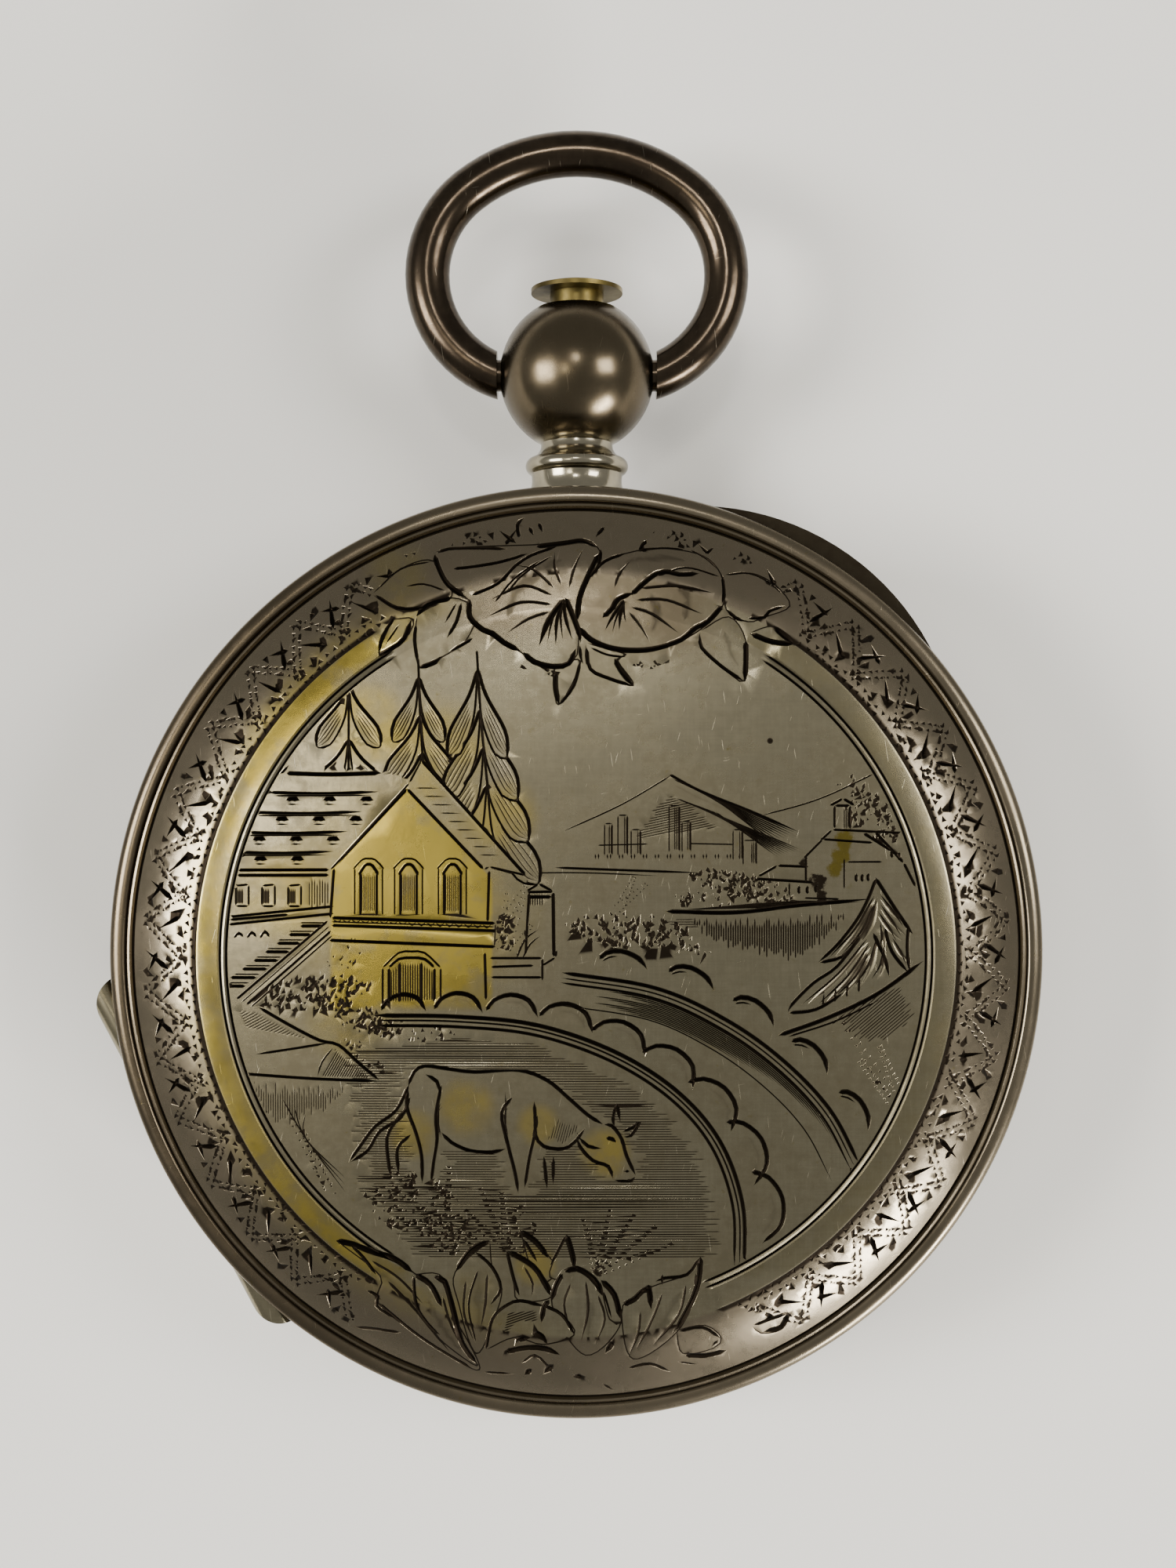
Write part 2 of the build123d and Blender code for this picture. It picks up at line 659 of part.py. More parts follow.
def make_third_wheel():
    phase = meshed_phase(0.0, centre_teeth, third_leaves, third_direction)
    body = wheel(third_teeth, third_module, third_wheel_z)
    body += pinion(third_leaves, centre_module, plate_back + 0.1, third_wheel_z, phase)
    return Pos(*third, 0) * (body + staff(centre, arbor_r, bridge_z))


def make_fourth_wheel():
    phase = meshed_phase(0.0, third_teeth, fourth_leaves, fourth_direction)
    body = wheel(fourth_teeth, fourth_module, fourth_wheel_z)
    body += pinion(fourth_leaves, third_module, third_wheel_z - 0.05, fourth_wheel_z, phase)
    return Pos(*fourth, 0) * (body + staff(centre, arbor_r, bridge_z))


def make_escape_wheel():
    phase = meshed_phase(0.0, fourth_teeth, escape_leaves, escape_direction)
    z = escape_wheel_z
    body = saw_wheel(escape_teeth, escape_r - 0.6, escape_r, z, z + 0.3)
    body -= rod(centre, escape_r - 0.95, z, z + 0.3)
    for arm in range(3):
        spoke = block((0, escape_r - 0.8), (-0.15, 0.15), (z, z + 0.3))
        body += Rot(0, 0, 120 * arm + 12) * spoke
    body += pinion(escape_leaves, fourth_module, fourth_wheel_z - 0.05, fourth_wheel_z + 0.3, phase)
    body += rod(centre, 0.22, plate_back + 0.06, low_cock_z - 0.04)
    return Pos(*escape, 0) * (body + rod(centre, pivot_r, plate_back - 0.6, low_cock_z + 0.3))


def make_barrel():
    phase = meshed_phase(0.0, centre_leaves, barrel_teeth, barrel_direction)
    z = barrel_teeth_z
    body = toothed(barrel_teeth, barrel_module, z, z + 0.4, phase, wheel_tooth_share, wheel_addendum)
    body += tube(centre, drum_r, drum_r - drum_wall, z + 0.2, drum_top - 0.25)
    body -= rod(centre, barrel_arbor_r + running_gap, z - 1, drum_top)
    return Pos(*barrel, 0) * body


def make_barrel_cover():
    return tube(barrel, drum_r, barrel_arbor_r + running_gap, drum_top - 0.25, drum_top)


def spiral(inner, outer, turns, thickness, bottom, height, start=0.0):
    """A flat spring: two spirals a thickness apart, joined at their ends."""
    steps = int(turns * 20)
    inside = []
    outside = []
    for step in range(steps + 1):
        share = step / steps
        angle = start + 360 * turns * share
        radius = inner + (outer - inner) * share
        inside.append(polar(radius, angle))
        outside.append(polar(radius + thickness, angle))
    return extrude(Pos(0, 0, bottom) * outline(inside + outside[::-1]), height)


def make_mainspring():
    low = barrel_teeth_z + 0.5
    return Pos(*barrel, 0) * spiral(1.4, drum_r - drum_wall - 0.3, 9, 0.16, low, drum_top - 0.35 - low)


def make_barrel_arbor():
    core = rod(barrel, 1.2, barrel_teeth_z + 0.45, drum_top - 0.3)
    body = core + rod(barrel, barrel_arbor_r, plate_back - 0.6, bridge_top + 0.05)
    half = square_side / 2
    top = cuvette_z - 0.1
    return body + Pos(*barrel, 0) * block((-half, half), (-half, half), (bridge_top, top))


def make_ratchet_wheel():
    z = bridge_top + 0.08
    half = square_side / 2 + set_gap
    body = Pos(*barrel, 0) * saw_wheel(ratchet_teeth, ratchet_r - 0.3, ratchet_r, z, z + 0.2, 2.0)
    return body - Pos(*barrel, 0) * block((-half, half), (-half, half), (z - 1, z + 1))


click_pivot = shifted(barrel, ratchet_r + 1.35, barrel_direction - 88)
click_tip = shifted(barrel, ratchet_r + 0.32, barrel_direction - 118)


def make_click():
    z = bridge_top + 0.08
    body = capsule(click_pivot, click_tip, 0.25, z, z + 0.2) + rod(click_pivot, 0.65, z, z + 0.2)
    return body - rod(click_pivot, screw_r + running_gap, z - 1, z + 1)


def make_click_spring():
    z = bridge_top
    start = shifted(click_pivot, 2.9, barrel_direction - 103)
    end = shifted(click_tip, 0.62, direction(barrel, click_tip))
    strip = capsule(start, end, 0.09, z, z + 0.25)
    return strip + rod(start, 0.45, z, z + 0.25)


# ---- balance ----

def make_balance_wheel():
    z = balance_z
    body = tube(centre, balance_r, balance_r - balance_rim, z, z + balance_height)
    for arm in range(3):
        spoke = block((0, balance_r - 0.2), (-0.3, 0.3), (z + 0.05, z + balance_height - 0.05))
        body += Rot(0, 0, 120 * arm + 75) * spoke
    body += rod(centre, 0.8, z, z + balance_height)
    return Pos(*balance, 0) * (body - rod(centre, cylinder_r + set_gap, z - 1, z + 1))


def make_balance_cylinder():
    body = rod(balance, cylinder_r, plate_back + 0.06, balance_cock_z - 0.06)
    return body + rod(balance, pivot_r, plate_back - 0.6, balance_cock_z + 0.4)


def make_hairspring():
    return Pos(*balance, 0) * spiral(0.65, 2.3, 6, 0.05, hairspring_z, 0.18, 30)


def make_regulator():
    z = balance_cock_top + 0.03
    body = tube(centre, 1.35, 0.95 + running_gap, z, z + 0.15)
    tail = capsule((1.25, 0), (4.4, 0), 0.2, z, z + 0.15)
    nib = capsule((-1.3, 0), (-2.3, 0), 0.28, z, z + 0.15)
    return Pos(*balance, 0) * Rot(0, 0, regulator_direction) * (body + tail + nib)


regulator_direction = direction(balance_foot, balance) + 75


# ---- bridges ----

def bridge(points, half_width, bottom, top, bridge_feet, jewelled, bored=()):
    body = capsule(points[0], points[1], half_width, bottom, top)
    for start, end in zip(points[1:], points[2:]):
        body += capsule(start, end, half_width, bottom, top)
    for foot in bridge_feet:
        body += rod(foot, bridge_foot_r, plate_back, bottom + 0.1)
        body -= rod(foot, screw_r + set_gap, plate_back - 1, top + 1)
    for place in jewelled:
        body -= rod(place, jewel_r + set_gap, top - jewel_thickness, top + 1)
        body -= rod(place, pivot_r + running_gap, bottom - 1, top)
    for place, radius in bored:
        body -= rod(place, radius, bottom - 1, top + 1)
    return body


def make_barrel_bridge():
    points = [barrel_feet[0], barrel, barrel_feet[1]]
    hole = (barrel, barrel_arbor_r + running_gap)
    body = bridge(points, 2.3, bridge_z, bridge_top, barrel_feet, (), [hole])
    return body - rod(click_pivot, screw_r + set_gap, bridge_z - 1, bridge_top + 1)


def make_centre_bridge():
    return bridge([centre_foot, centre], 1.4, bridge_z, bridge_top, [centre_foot], (),
                  [(centre, centre_arbor_r + running_gap)])


def make_third_cock():
    return bridge([third_foot, third], 1.3, bridge_z, bridge_top, [third_foot], [third])


def make_fourth_cock():
    return bridge([fourth_foot, fourth], 1.3, bridge_z, bridge_top, [fourth_foot], [fourth])


def make_escape_cock():
    return bridge([escape_foot, escape], 1.0, low_cock_z, low_cock_top, [escape_foot], (),
                  [(escape, pivot_r + running_gap)])


def make_balance_cock():
    return bridge([balance_foot, balance], 1.5, balance_cock_z, balance_cock_top, [balance_foot], [balance])


def screw(place, seat, length):
    head = rod(place, screw_head_r, seat, seat + screw_head_height)
    slot = block((-1, 1), (-screw_slot / 2, screw_slot / 2), (seat + 0.12, seat + 1))
    head -= Pos(*place, 0) * Rot(0, 0, 7 * place[0] + 31 * place[1]) * slot
    return head + rod(place, screw_r, seat - length, seat + 0.1)


def make_bridge_screws():
    seats = [bridge_top] * 5 + [low_cock_top, balance_cock_top]
    screws = [screw(foot, seat, seat - plate_back + 0.7) for foot, seat in zip(feet, seats)]
    return Compound([part for piece in screws for part in piece.solids()])


def make_case_screws():
    seat = plate_back + ledge_height
    screws = [screw(place, seat, ledge_height + 0.7) for place in case_screw_places]
    return Compound([part for piece in screws for part in piece.solids()])


def make_click_screw():
    return screw(click_pivot, bridge_top + 0.3, bridge_thickness + 0.2)


def make_jewels():
    stones = []
    for place, top in ((third, bridge_top), (fourth, bridge_top), (balance, balance_cock_top)):
        stones.append(tube(place, jewel_r, pivot_r + running_gap, top - jewel_thickness, top))
    return Compound([part for stone in stones for part in stone.solids()])


def make_end_cap():
    cap = rod(balance, 0.95, balance_cock_top, balance_cock_top + 0.25)
    return cap - rod(balance, pivot_r + 0.1, balance_cock_top - 1, balance_cock_top + 0.1)


pieces = {
    "case_band": make_case_band,
    "back_hinge_pin": lambda: make_hinge_pin(back_axis_z),
    "bezel_hinge_pin": lambda: make_hinge_pin(front_axis_z),
    "bezel": make_bezel,
    "crystal": make_crystal,
    "back_cover": make_back_cover,
    "back_cover_lip": make_back_cover_lip,
    "back_cover_knuckle": make_back_cover_knuckle,
    "cuvette": make_cuvette,
    "pendant": make_pendant,
    "push_piece": make_push_piece,
    "push_spring": make_push_spring,
    "cover_catch": make_cover_catch,
    "bow": make_bow,
    "main_plate": make_main_plate,
    "dial": make_dial,
    "hour_hand": lambda: make_hand(7.6, 5.2, 0.95, 1.7, hour_pipe_r, hour_hand_z, 305),
    "minute_hand": lambda: make_hand(12.2, 8.8, 0.75, 1.3, cannon_r, minute_hand_z, 60),
    "cannon_pinion": make_cannon_pinion,
    "hour_wheel": make_hour_wheel,
    "minute_wheel": make_minute_wheel,
    "centre_wheel": make_centre_wheel,
    "third_wheel": make_third_wheel,
    "fourth_wheel": make_fourth_wheel,
    "escape_wheel": make_escape_wheel,
    "barrel": make_barrel,
    "barrel_cover": make_barrel_cover,
    "mainspring": make_mainspring,
    "barrel_arbor": make_barrel_arbor,
    "ratchet_wheel": make_ratchet_wheel,
    "click": make_click,
    "click_spring": make_click_spring,
    "click_screw": make_click_screw,
    "balance_wheel": make_balance_wheel,
    "balance_cylinder": make_balance_cylinder,
    "hairspring": make_hairspring,
    "regulator": make_regulator,
    "barrel_bridge": make_barrel_bridge,
    "centre_bridge": make_centre_bridge,
    "third_cock": make_third_cock,
    "fourth_cock": make_fourth_cock,
    "escape_cock": make_escape_cock,
    "balance_cock": make_balance_cock,
    "bridge_screws": make_bridge_screws,
    "case_screws": make_case_screws,
    "jewels": make_jewels,
    "balance_end_cap": make_end_cap,
}

os.makedirs("parts", exist_ok=True)
for name, make in pieces.items():
    save(name, make())
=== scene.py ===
import random
from math import atan2, ceil, cos, degrees, hypot, radians, sin, sqrt

import bmesh
import bpy
import numpy as np
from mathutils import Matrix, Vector
from mathutils.geometry import delaunay_2d_cdt


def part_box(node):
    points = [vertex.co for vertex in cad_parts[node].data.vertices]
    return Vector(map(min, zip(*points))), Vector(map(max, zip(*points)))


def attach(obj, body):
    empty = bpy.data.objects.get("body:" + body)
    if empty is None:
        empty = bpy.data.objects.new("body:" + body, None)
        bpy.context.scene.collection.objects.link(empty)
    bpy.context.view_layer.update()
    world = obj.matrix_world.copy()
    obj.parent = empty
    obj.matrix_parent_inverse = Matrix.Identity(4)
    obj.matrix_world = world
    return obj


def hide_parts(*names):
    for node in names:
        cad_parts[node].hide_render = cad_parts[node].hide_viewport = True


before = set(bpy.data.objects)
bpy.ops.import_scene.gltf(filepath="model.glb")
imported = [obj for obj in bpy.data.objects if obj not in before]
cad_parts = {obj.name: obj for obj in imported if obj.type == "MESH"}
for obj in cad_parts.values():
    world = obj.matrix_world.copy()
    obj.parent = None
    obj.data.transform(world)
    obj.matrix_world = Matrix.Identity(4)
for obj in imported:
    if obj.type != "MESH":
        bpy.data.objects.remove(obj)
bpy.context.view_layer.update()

# A silver fob watch lying on its crystal, with its engraved back cover up (+Z) and its pendant along +Y.
# Lengths in this script are millimetres, and each mesh is made in metres.
MM = 0.001


def low(node, axis):
    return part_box(node)[0]["xyz".index(axis)] / MM


def high(node, axis):
    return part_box(node)[1]["xyz".index(axis)] / MM


# ---- measures of the case, from the frame ----
rim_r = high("back_cover", "x")
cover_z = low("back_cover", "z")
cover_top = high("back_cover", "z")
band_r = high("case_band", "x")
band_front = low("case_band", "z")
band_back = cover_z - 0.05
ball_r = high("pendant", "x")
ball_y = high("pendant", "y") - 0.853 * ball_r
dial_face = low("dial", "z")
dial_r = high("dial", "x")
hinge_direction = 208

# ---- back cover ----
bead_z = cover_z + 0.35         # the rim's widest place
slope_r = rim_r - 1.19          # border's outer edge
ring_outer = rim_r - 4.1        # polished ring round the field
ring_inner = rim_r - 5.1
slope_z = cover_z + 0.97
ring_z = cover_top - 0.4
field_z = cover_top - 0.32
cover_wall_r = band_r - 1.1
segments = 480
inner_skin = 0.4
deepest_cut = 0.17
field_gap = 0.75                # between the points of the field's plain mesh
field_turn = 7                  # turns them away from the level cuts


# ---- shaders ----

class Link:
    """A shader socket that Python arithmetic extends with Math nodes."""

    def __init__(self, finish, socket):
        self.finish = finish
        self.socket = socket

    def __add__(self, other):
        return self.finish.math("ADD", self, other)

    def __radd__(self, other):
        return self.finish.math("ADD", other, self)

    def __sub__(self, other):
        return self.finish.math("SUBTRACT", self, other)

    def __rsub__(self, other):
        return self.finish.math("SUBTRACT", other, self)

    def __mul__(self, other):
        return self.finish.math("MULTIPLY", self, other)

    def __rmul__(self, other):
        return self.finish.math("MULTIPLY", other, self)

    def __truediv__(self, other):
        return self.finish.math("DIVIDE", self, other)

    def __pow__(self, other):
        return self.finish.math("POWER", self, other)


class Finish:
    """A material that is being made, and the ways to add nodes to it."""

    def __init__(self, name):
        self.material = bpy.data.materials.new(name)
        self.material.use_nodes = True
        self.tree = self.material.node_tree
        self.tree.nodes.clear()
        self.place = self.node("ShaderNodeTexCoord", out="Object")
        self.ground = self.node("ShaderNodeVectorMath", {"operation": "MULTIPLY"},
                                {0: self.place, 1: (1, 1, 0)})

    def node(self, kind, settings=(), values=(), out=0):
        made = self.tree.nodes.new(kind)
        for key, value in dict(settings).items():
            setattr(made, key, value)
        for key, value in dict(values).items():
            if isinstance(value, Link):
                self.tree.links.new(value.socket, made.inputs[key])
            else:
                made.inputs[key].default_value = value
        return Link(self, made.outputs[out])

    def math(self, operation, first, second=0.0):
        return self.node("ShaderNodeMath", {"operation": operation}, {0: first, 1: second})

    def step(self, value, start, end):
        """0 below start, 1 above end, and smooth between them."""
        values = {"Value": value, "From Min": start, "From Max": end}
        return self.node("ShaderNodeMapRange", {"interpolation_type": "SMOOTHSTEP"}, values)

    def mix(self, share, first, second):
        settings = {"data_type": "RGBA", "clamp_factor": True}
        first = first if isinstance(first, Link) else (*first, 1)
        second = second if isinstance(second, Link) else (*second, 1)
        return self.node("ShaderNodeMix", settings, {0: share, 6: first, 7: second}, 2)

    def axis(self, name):
        return self.node("ShaderNodeSeparateXYZ", (), {0: self.place}, name)

    def noise(self, size, detail=2.0, roughness=0.5):
        """Noise whose blobs are about size millimetres across."""
        values = {"Vector": self.place, "Scale": 1 / (size * MM), "Detail": detail, "Roughness": roughness}
        return self.node("ShaderNodeTexNoise", (), values)

    def streaks(self, angle, length, width, threshold, shift=0.0):
        """Fine straight marks that run at an angle from +X, from 0 to 1."""
        values = {"Vector": self.place, "Location": (shift * MM, 0.37 * shift * MM, 0),
                  "Rotation": (0, 0, radians(angle)), "Scale": (length * MM, width * MM, length * MM)}
        turned = self.node("ShaderNodeMapping", {"vector_type": "TEXTURE"}, values)
        marks = self.node("ShaderNodeTexNoise", (), {"Vector": turned, "Scale": 1.0, "Detail": 1.0})
        return self.step(marks, threshold, threshold + 0.05)

    def attribute(self, name):
        return self.node("ShaderNodeAttribute", {"attribute_name": name}, (), "Fac")

    def near(self, x, y, reach, softness=0.5):
        """1 near a place in millimetres, 0 beyond reach."""
        gap = self.node("ShaderNodeVectorMath", {"operation": "DISTANCE"},
                        {0: self.ground, 1: (x * MM, y * MM, 0)}, "Value")
        return 1 - self.step(gap, reach * (1 - softness) * MM, reach * MM)

    def bump(self, height, depth):
        values = {"Height": height, "Strength": 1.0, "Distance": depth * MM}
        return self.node("ShaderNodeBump", (), values)

    def done(self, **values):
        """Ends the material with a Principled shader. Socket names are given with underscores."""
        named = {key.replace("_", " "): value for key, value in values.items()}
        colour = named.get("Base Color")
        if isinstance(colour, tuple):
            named["Base Color"] = (*colour, 1)
        shader = self.node("ShaderNodeBsdfPrincipled", (), named)
        self.node_output(shader)
        return self.material

    def node_output(self, shader):
        made = self.tree.nodes.new("ShaderNodeOutputMaterial")
        self.tree.links.new(shader.socket, made.inputs["Surface"])


def worn_silver(name, light, dark, roughness=0.24, grain=0.006, extra=None):
    """Old silver: cloudy tarnish, fine random scratches and soft dents."""
    finish = Finish(name)
    clouds = finish.noise(4.5, 5, 0.6)
    fine = finish.noise(0.5, 4, 0.65)
    tarnish = finish.step(0.65 * clouds + 0.35 * fine, 0.38, 0.62)
    colour = finish.mix(tarnish, dark, light)
    scratches = finish.streaks(98, 1.5, 0.06, 0.74) + finish.streaks(74, 1.2, 0.05, 0.75, 3.1)
    scratches = scratches + 0.6 * finish.streaks(12, 1.0, 0.05, 0.77, 7.7)
    brushed = finish.streaks(90, 2.2, 0.09, 0.45) + finish.streaks(0, 1.6, 0.08, 0.5, 5.0)
    colour = finish.mix(0.12 * brushed, colour, dark)
    colour = finish.mix(0.25 * scratches, colour, CLEAN_SILVER)
    rough = roughness + 0.1 * (1 - tarnish) + 0.08 * fine - 0.04 + 0.1 * scratches
    height = 0.5 * finish.noise(1.6, 3) + 0.3 * fine - 0.12 * scratches
    if extra:
        colour, rough = extra(finish, colour, rough)
    return finish.done(Base_Color=colour, Roughness=rough, Metallic=1.0, Normal=finish.bump(height, grain))


# Places with gilt left on them: x, y, reach and strength.
gilt_places = [
    (-5.7, 8.6, 2.6, 0.6), (-8.8, 9.6, 2.2, 0.7), (-3.0, 6.0, 1.8, 0.5), (-7.0, 2.5, 6.5, 0.35),
    (-12.4, 2.6, 2.4, 0.4), (-4.6, -6.3, 1.5, 0.6), (-1.6, -7.0, 1.1, 0.5), (1.2, -8.2, 1.3, 0.7),
    (-6.8, -7.4, 1.3, 0.6),
    (-9.4, -2.7, 2.2, 0.5), (-4.4, -14.2, 1.6, 0.15), (-1.7, -12.9, 1.1, 0.6), (-7.6, 16.2, 1.8, 0.4)]


def engraved_extra(finish, colour, rough):
    """Dark wax in the cuts, worn gilding and a few old spots, with painted light: a warm reflection on the
    ring's left, and shade on the rim's left and under the garland.
    """
    cut = finish.step(finish.attribute("cut"), 0.02, 0.32)
    x = finish.axis("X") / MM
    y = finish.axis("Y") / MM
    radius = (x ** 2 + y ** 2) ** 0.5
    blotch = finish.step(finish.noise(1.3, 4, 0.62), 0.3, 0.6)
    gilt_and_sheen = 0
    for place_x, place_y, reach, strength in gilt_places:
        gilt_and_sheen = gilt_and_sheen + strength * finish.near(place_x, place_y, reach, 0.6)
    gable = finish.math("ABSOLUTE", x + 7.05) * 1.06 + y
    wall = finish.step(x, -10.35, -10.1) * (1 - finish.step(x, -3.6, -3.4)) * finish.step(y, -2.3, -1.9)
    gilt_and_sheen = gilt_and_sheen + 0.95 * wall * (1 - finish.step(gable, 6.9, 7.1))
    clear_of_leaves = finish.step(y, -13.6, -12.9) * (1 - finish.step(y, 13.0, 13.7))
    on_ring = finish.step(radius, 14.9, 15.0) * (1 - finish.step(radius, 15.8, 15.95)) * clear_of_leaves
    near_ring = finish.step(radius, 14.9, 15.6) * (1 - finish.step(radius, 16.1, 17.6))
    # Painted reflection: the ring's gilt grows towards the left. It is partly real gilding and partly the
    # warm shine of the left lights.
    left_sheen = finish.step(0 - x - 0.25 * y, 2.0, 13.0)
    upper_left = finish.near(-10.5, 12.5, 7.0, 0.6)
    gilt_and_sheen = gilt_and_sheen + on_ring * (0.1 + 0.45 * left_sheen + 0.4 * upper_left)
    gilt_and_sheen = gilt_and_sheen + near_ring * (0.4 * left_sheen + 0.5 * upper_left)
    gilt_and_sheen = gilt_and_sheen * (0.45 + 0.55 * blotch)
    colour = finish.mix(gilt_and_sheen, colour, GILT_SHEEN_COLOUR)
    outside = finish.step(radius, 15.9, 16.1)
    colour = finish.mix(0.75 * outside * (1 - gilt_and_sheen), colour, ROSE_SILVER)
    # The rim is darkened all round for its tarnish, and further on the left as painted shade that dims the
    # window's highlights.
    rim_tarnish_and_shade = finish.step(radius, 19.0, 19.2) * (0.2 + 0.55 * finish.step(0 - x, 2.0, 14.0))
    # Painted shade: the slope under the garland is darkened to dim the overhead light's highlight there.
    flower_painted_shade = (1 - finish.step(radius, 15.9, 16.2)) * finish.step(radius, 12.0, 14.5)
    flower_painted_shade = flower_painted_shade * finish.near(0.3, 15.5, 7.5, 0.5)
    colour = finish.mix(rim_tarnish_and_shade + 0.7 * flower_painted_shade, colour, BROWN_SILVER)
    rough_edge = 1.8 * (finish.noise(0.4, 4, 0.7) - 0.5)
    stain = finish.near(11.2, 4.9, 0.6, 0.9) + finish.near(11.05, 4.2, 0.6,
                                                           0.9) + finish.near(10.8, 3.6, 0.5, 0.9)
    colour = finish.mix(0.85 * finish.step(stain + rough_edge, 0.2, 0.7), colour, YELLOW_STAIN)
    soot = finish.near(10.1, 3.1, 0.75, 0.9) + finish.near(10.25, 2.4, 0.5,
                                                           0.9) + finish.near(9.5, 3.9, 0.4, 0.9)
    soot = finish.step(soot + rough_edge, 0.4, 0.8) + finish.near(8.1, 9.0, 0.18)
    colour = finish.mix(soot, colour, WAX_AND_SHADE)
    colour = finish.mix(cut, colour, WAX_AND_SHADE)
    return colour, rough + 0.2 * cut + 0.2 * soot - 0.04 * on_ring


def case_extra(finish, colour, rough):
    """The pendant's ball is browner than its foot and collar."""
    y = finish.axis("Y") / MM
    edge = ball_y - 0.88 * ball_r
    foot = finish.step(y, band_r - 0.5, band_r) * (1 - finish.step(y, edge - 0.1, edge + 0.1))
    ball = finish.step(y, edge - 0.1, edge + 0.1)
    colour = finish.mix(0.35 * foot, colour, CLEAN_SILVER)
    colour = finish.mix(0.85 * ball, colour, BROWN_SILVER)
    return colour, rough - 0.06 * foot


def lip_painted_shade(finish, colour, rough):
    """Painted shade: the thumb lip is darkened nearly to black for its shadow under the cover's rim."""
    return finish.mix(0.92, colour, WAX_AND_SHADE), rough + 0.1


LIGHT_SILVER = (0.27, 0.242, 0.165)
GREY_SILVER = (0.16, 0.141, 0.092)
CLEAN_SILVER = (0.5, 0.46, 0.37)
BROWN_SILVER = (0.075, 0.057, 0.036)
ROSE_SILVER = (0.165, 0.136, 0.098)
# The colour of gilding, also used for the painted warm reflection on the ring's left.
GILT_SHEEN_COLOUR = (0.31, 0.24, 0.05)
YELLOW_STAIN = (0.13, 0.1, 0.008)
# Dark wax for the cuts and stains, also used as painted shade on the thumb lip.
WAX_AND_SHADE = (0.012, 0.009, 0.006)


def brass(name, light, dark, roughness, grain, grain_size=0.08):
    """Gilded or lacquered brass with a fine matt grain."""
    finish = Finish(name)
    tone = finish.step(finish.noise(3.0, 4, 0.6), 0.35, 0.65)
    speck = finish.noise(grain_size, 2, 0.6)
    rough = roughness + 0.1 * (1 - tone) + 0.12 * speck
    return finish.done(Base_Color=finish.mix(tone, dark, light), Roughness=rough, Metallic=1.0,
                       Normal=finish.bump(speck, grain))


def steel(name, light, dark, roughness=0.16):
    """Polished steel with a straight grain, and a faint tone of age or bluing."""
    finish = Finish(name)
    tone = finish.step(finish.noise(2.2, 3), 0.3, 0.7)
    grain = finish.streaks(35, 1.6, 0.03, 0.5)
    rough = roughness + 0.08 * grain + 0.06 * (1 - tone)
    return finish.done(Base_Color=finish.mix(tone, dark, light), Roughness=rough, Metallic=1.0,
                       Normal=finish.bump(grain, 0.0015))


def enamel(name, colour):
    """Fired white enamel: a deep gloss with the faintest ripple and specks."""
    finish = Finish(name)
    ripple = finish.noise(3.5, 2)
    speck = finish.step(finish.noise(0.22, 1), 0.74, 0.78)
    tone = finish.mix(0.5 * ripple, colour, tuple(0.93 * part for part in colour))
    tone = finish.mix(0.3 * speck, tone, (0.35, 0.3, 0.24))
    return finish.done(Base_Color=tone, Roughness=0.1 + 0.06 * ripple, Normal=finish.bump(ripple, 0.02),
                       Coat_Weight=0.6, Coat_Roughness=0.05)


def black_enamel(name):
    finish = Finish(name)
    patch = finish.noise(0.3, 3)
    return finish.done(Base_Color=finish.mix(patch, (0.012, 0.011, 0.012), (0.03, 0.027, 0.028)),
                       Roughness=0.22 + 0.15 * patch, Normal=finish.bump(patch, 0.004))


def glass(name):
    finish = Finish(name)
    smear = finish.noise(4.0, 4, 0.6)
    scratch = finish.streaks(40, 3.0, 0.03, 0.72) + finish.streaks(118, 2.2, 0.03, 0.73, 2.0)
    return finish.done(Base_Color=(0.98, 0.99, 0.98), Roughness=0.02 + 0.05 * smear * smear + 0.2 * scratch,
                       IOR=1.5, Transmission_Weight=1.0, Normal=finish.bump(scratch, 0.001))


def ruby(name):
    finish = Finish(name)
    depth = finish.noise(0.4, 2)
    return finish.done(Base_Color=finish.mix(depth, (0.42, 0.01, 0.05), (0.7, 0.03, 0.1)),
                       Roughness=0.06 + 0.05 * depth, Coat_Weight=0.7, IOR=1.76)


def pale_cloth(name):
    finish = Finish(name)
    tone = finish.noise(60, 3)
    return finish.done(Base_Color=finish.mix(tone, (0.7, 0.69, 0.66), (0.78, 0.77, 0.74)), Roughness=0.85)


finishes = {
    "silver_engraved": worn_silver("engraved silver", LIGHT_SILVER, GREY_SILVER, 0.22, 0.008,
                                   engraved_extra),
    "silver_case": worn_silver("case silver", LIGHT_SILVER, GREY_SILVER, 0.2, 0.006, case_extra),
    "silver_inner": worn_silver("inner silver", (0.72, 0.68, 0.6), (0.5, 0.46, 0.38), 0.2, 0.004),
    "silver_bow": worn_silver("bow silver", (0.07, 0.053, 0.036), (0.036, 0.027, 0.019), 0.16, 0.008),
    "crystal_glass": glass("crystal glass"),
    "brass_aged": brass("aged brass", (0.2, 0.155, 0.05), (0.07, 0.055, 0.022), 0.26, 0.004, 0.3),
    "steel_polished": steel("polished steel", (0.62, 0.61, 0.6), (0.42, 0.41, 0.4)),
    "gilt_brass": brass("frosted gilding", (0.93, 0.69, 0.31), (0.8, 0.55, 0.22), 0.34, 0.012),
    "enamel": enamel("white enamel", (0.86, 0.855, 0.82)),
    "blued_steel": steel("blued steel", (0.05, 0.1, 0.34), (0.03, 0.05, 0.2), 0.14),
    "wheel_brass": brass("wheel brass", (0.86, 0.66, 0.32), (0.7, 0.5, 0.22), 0.22, 0.003, 0.05),
    "ruby": ruby("ruby"),
}
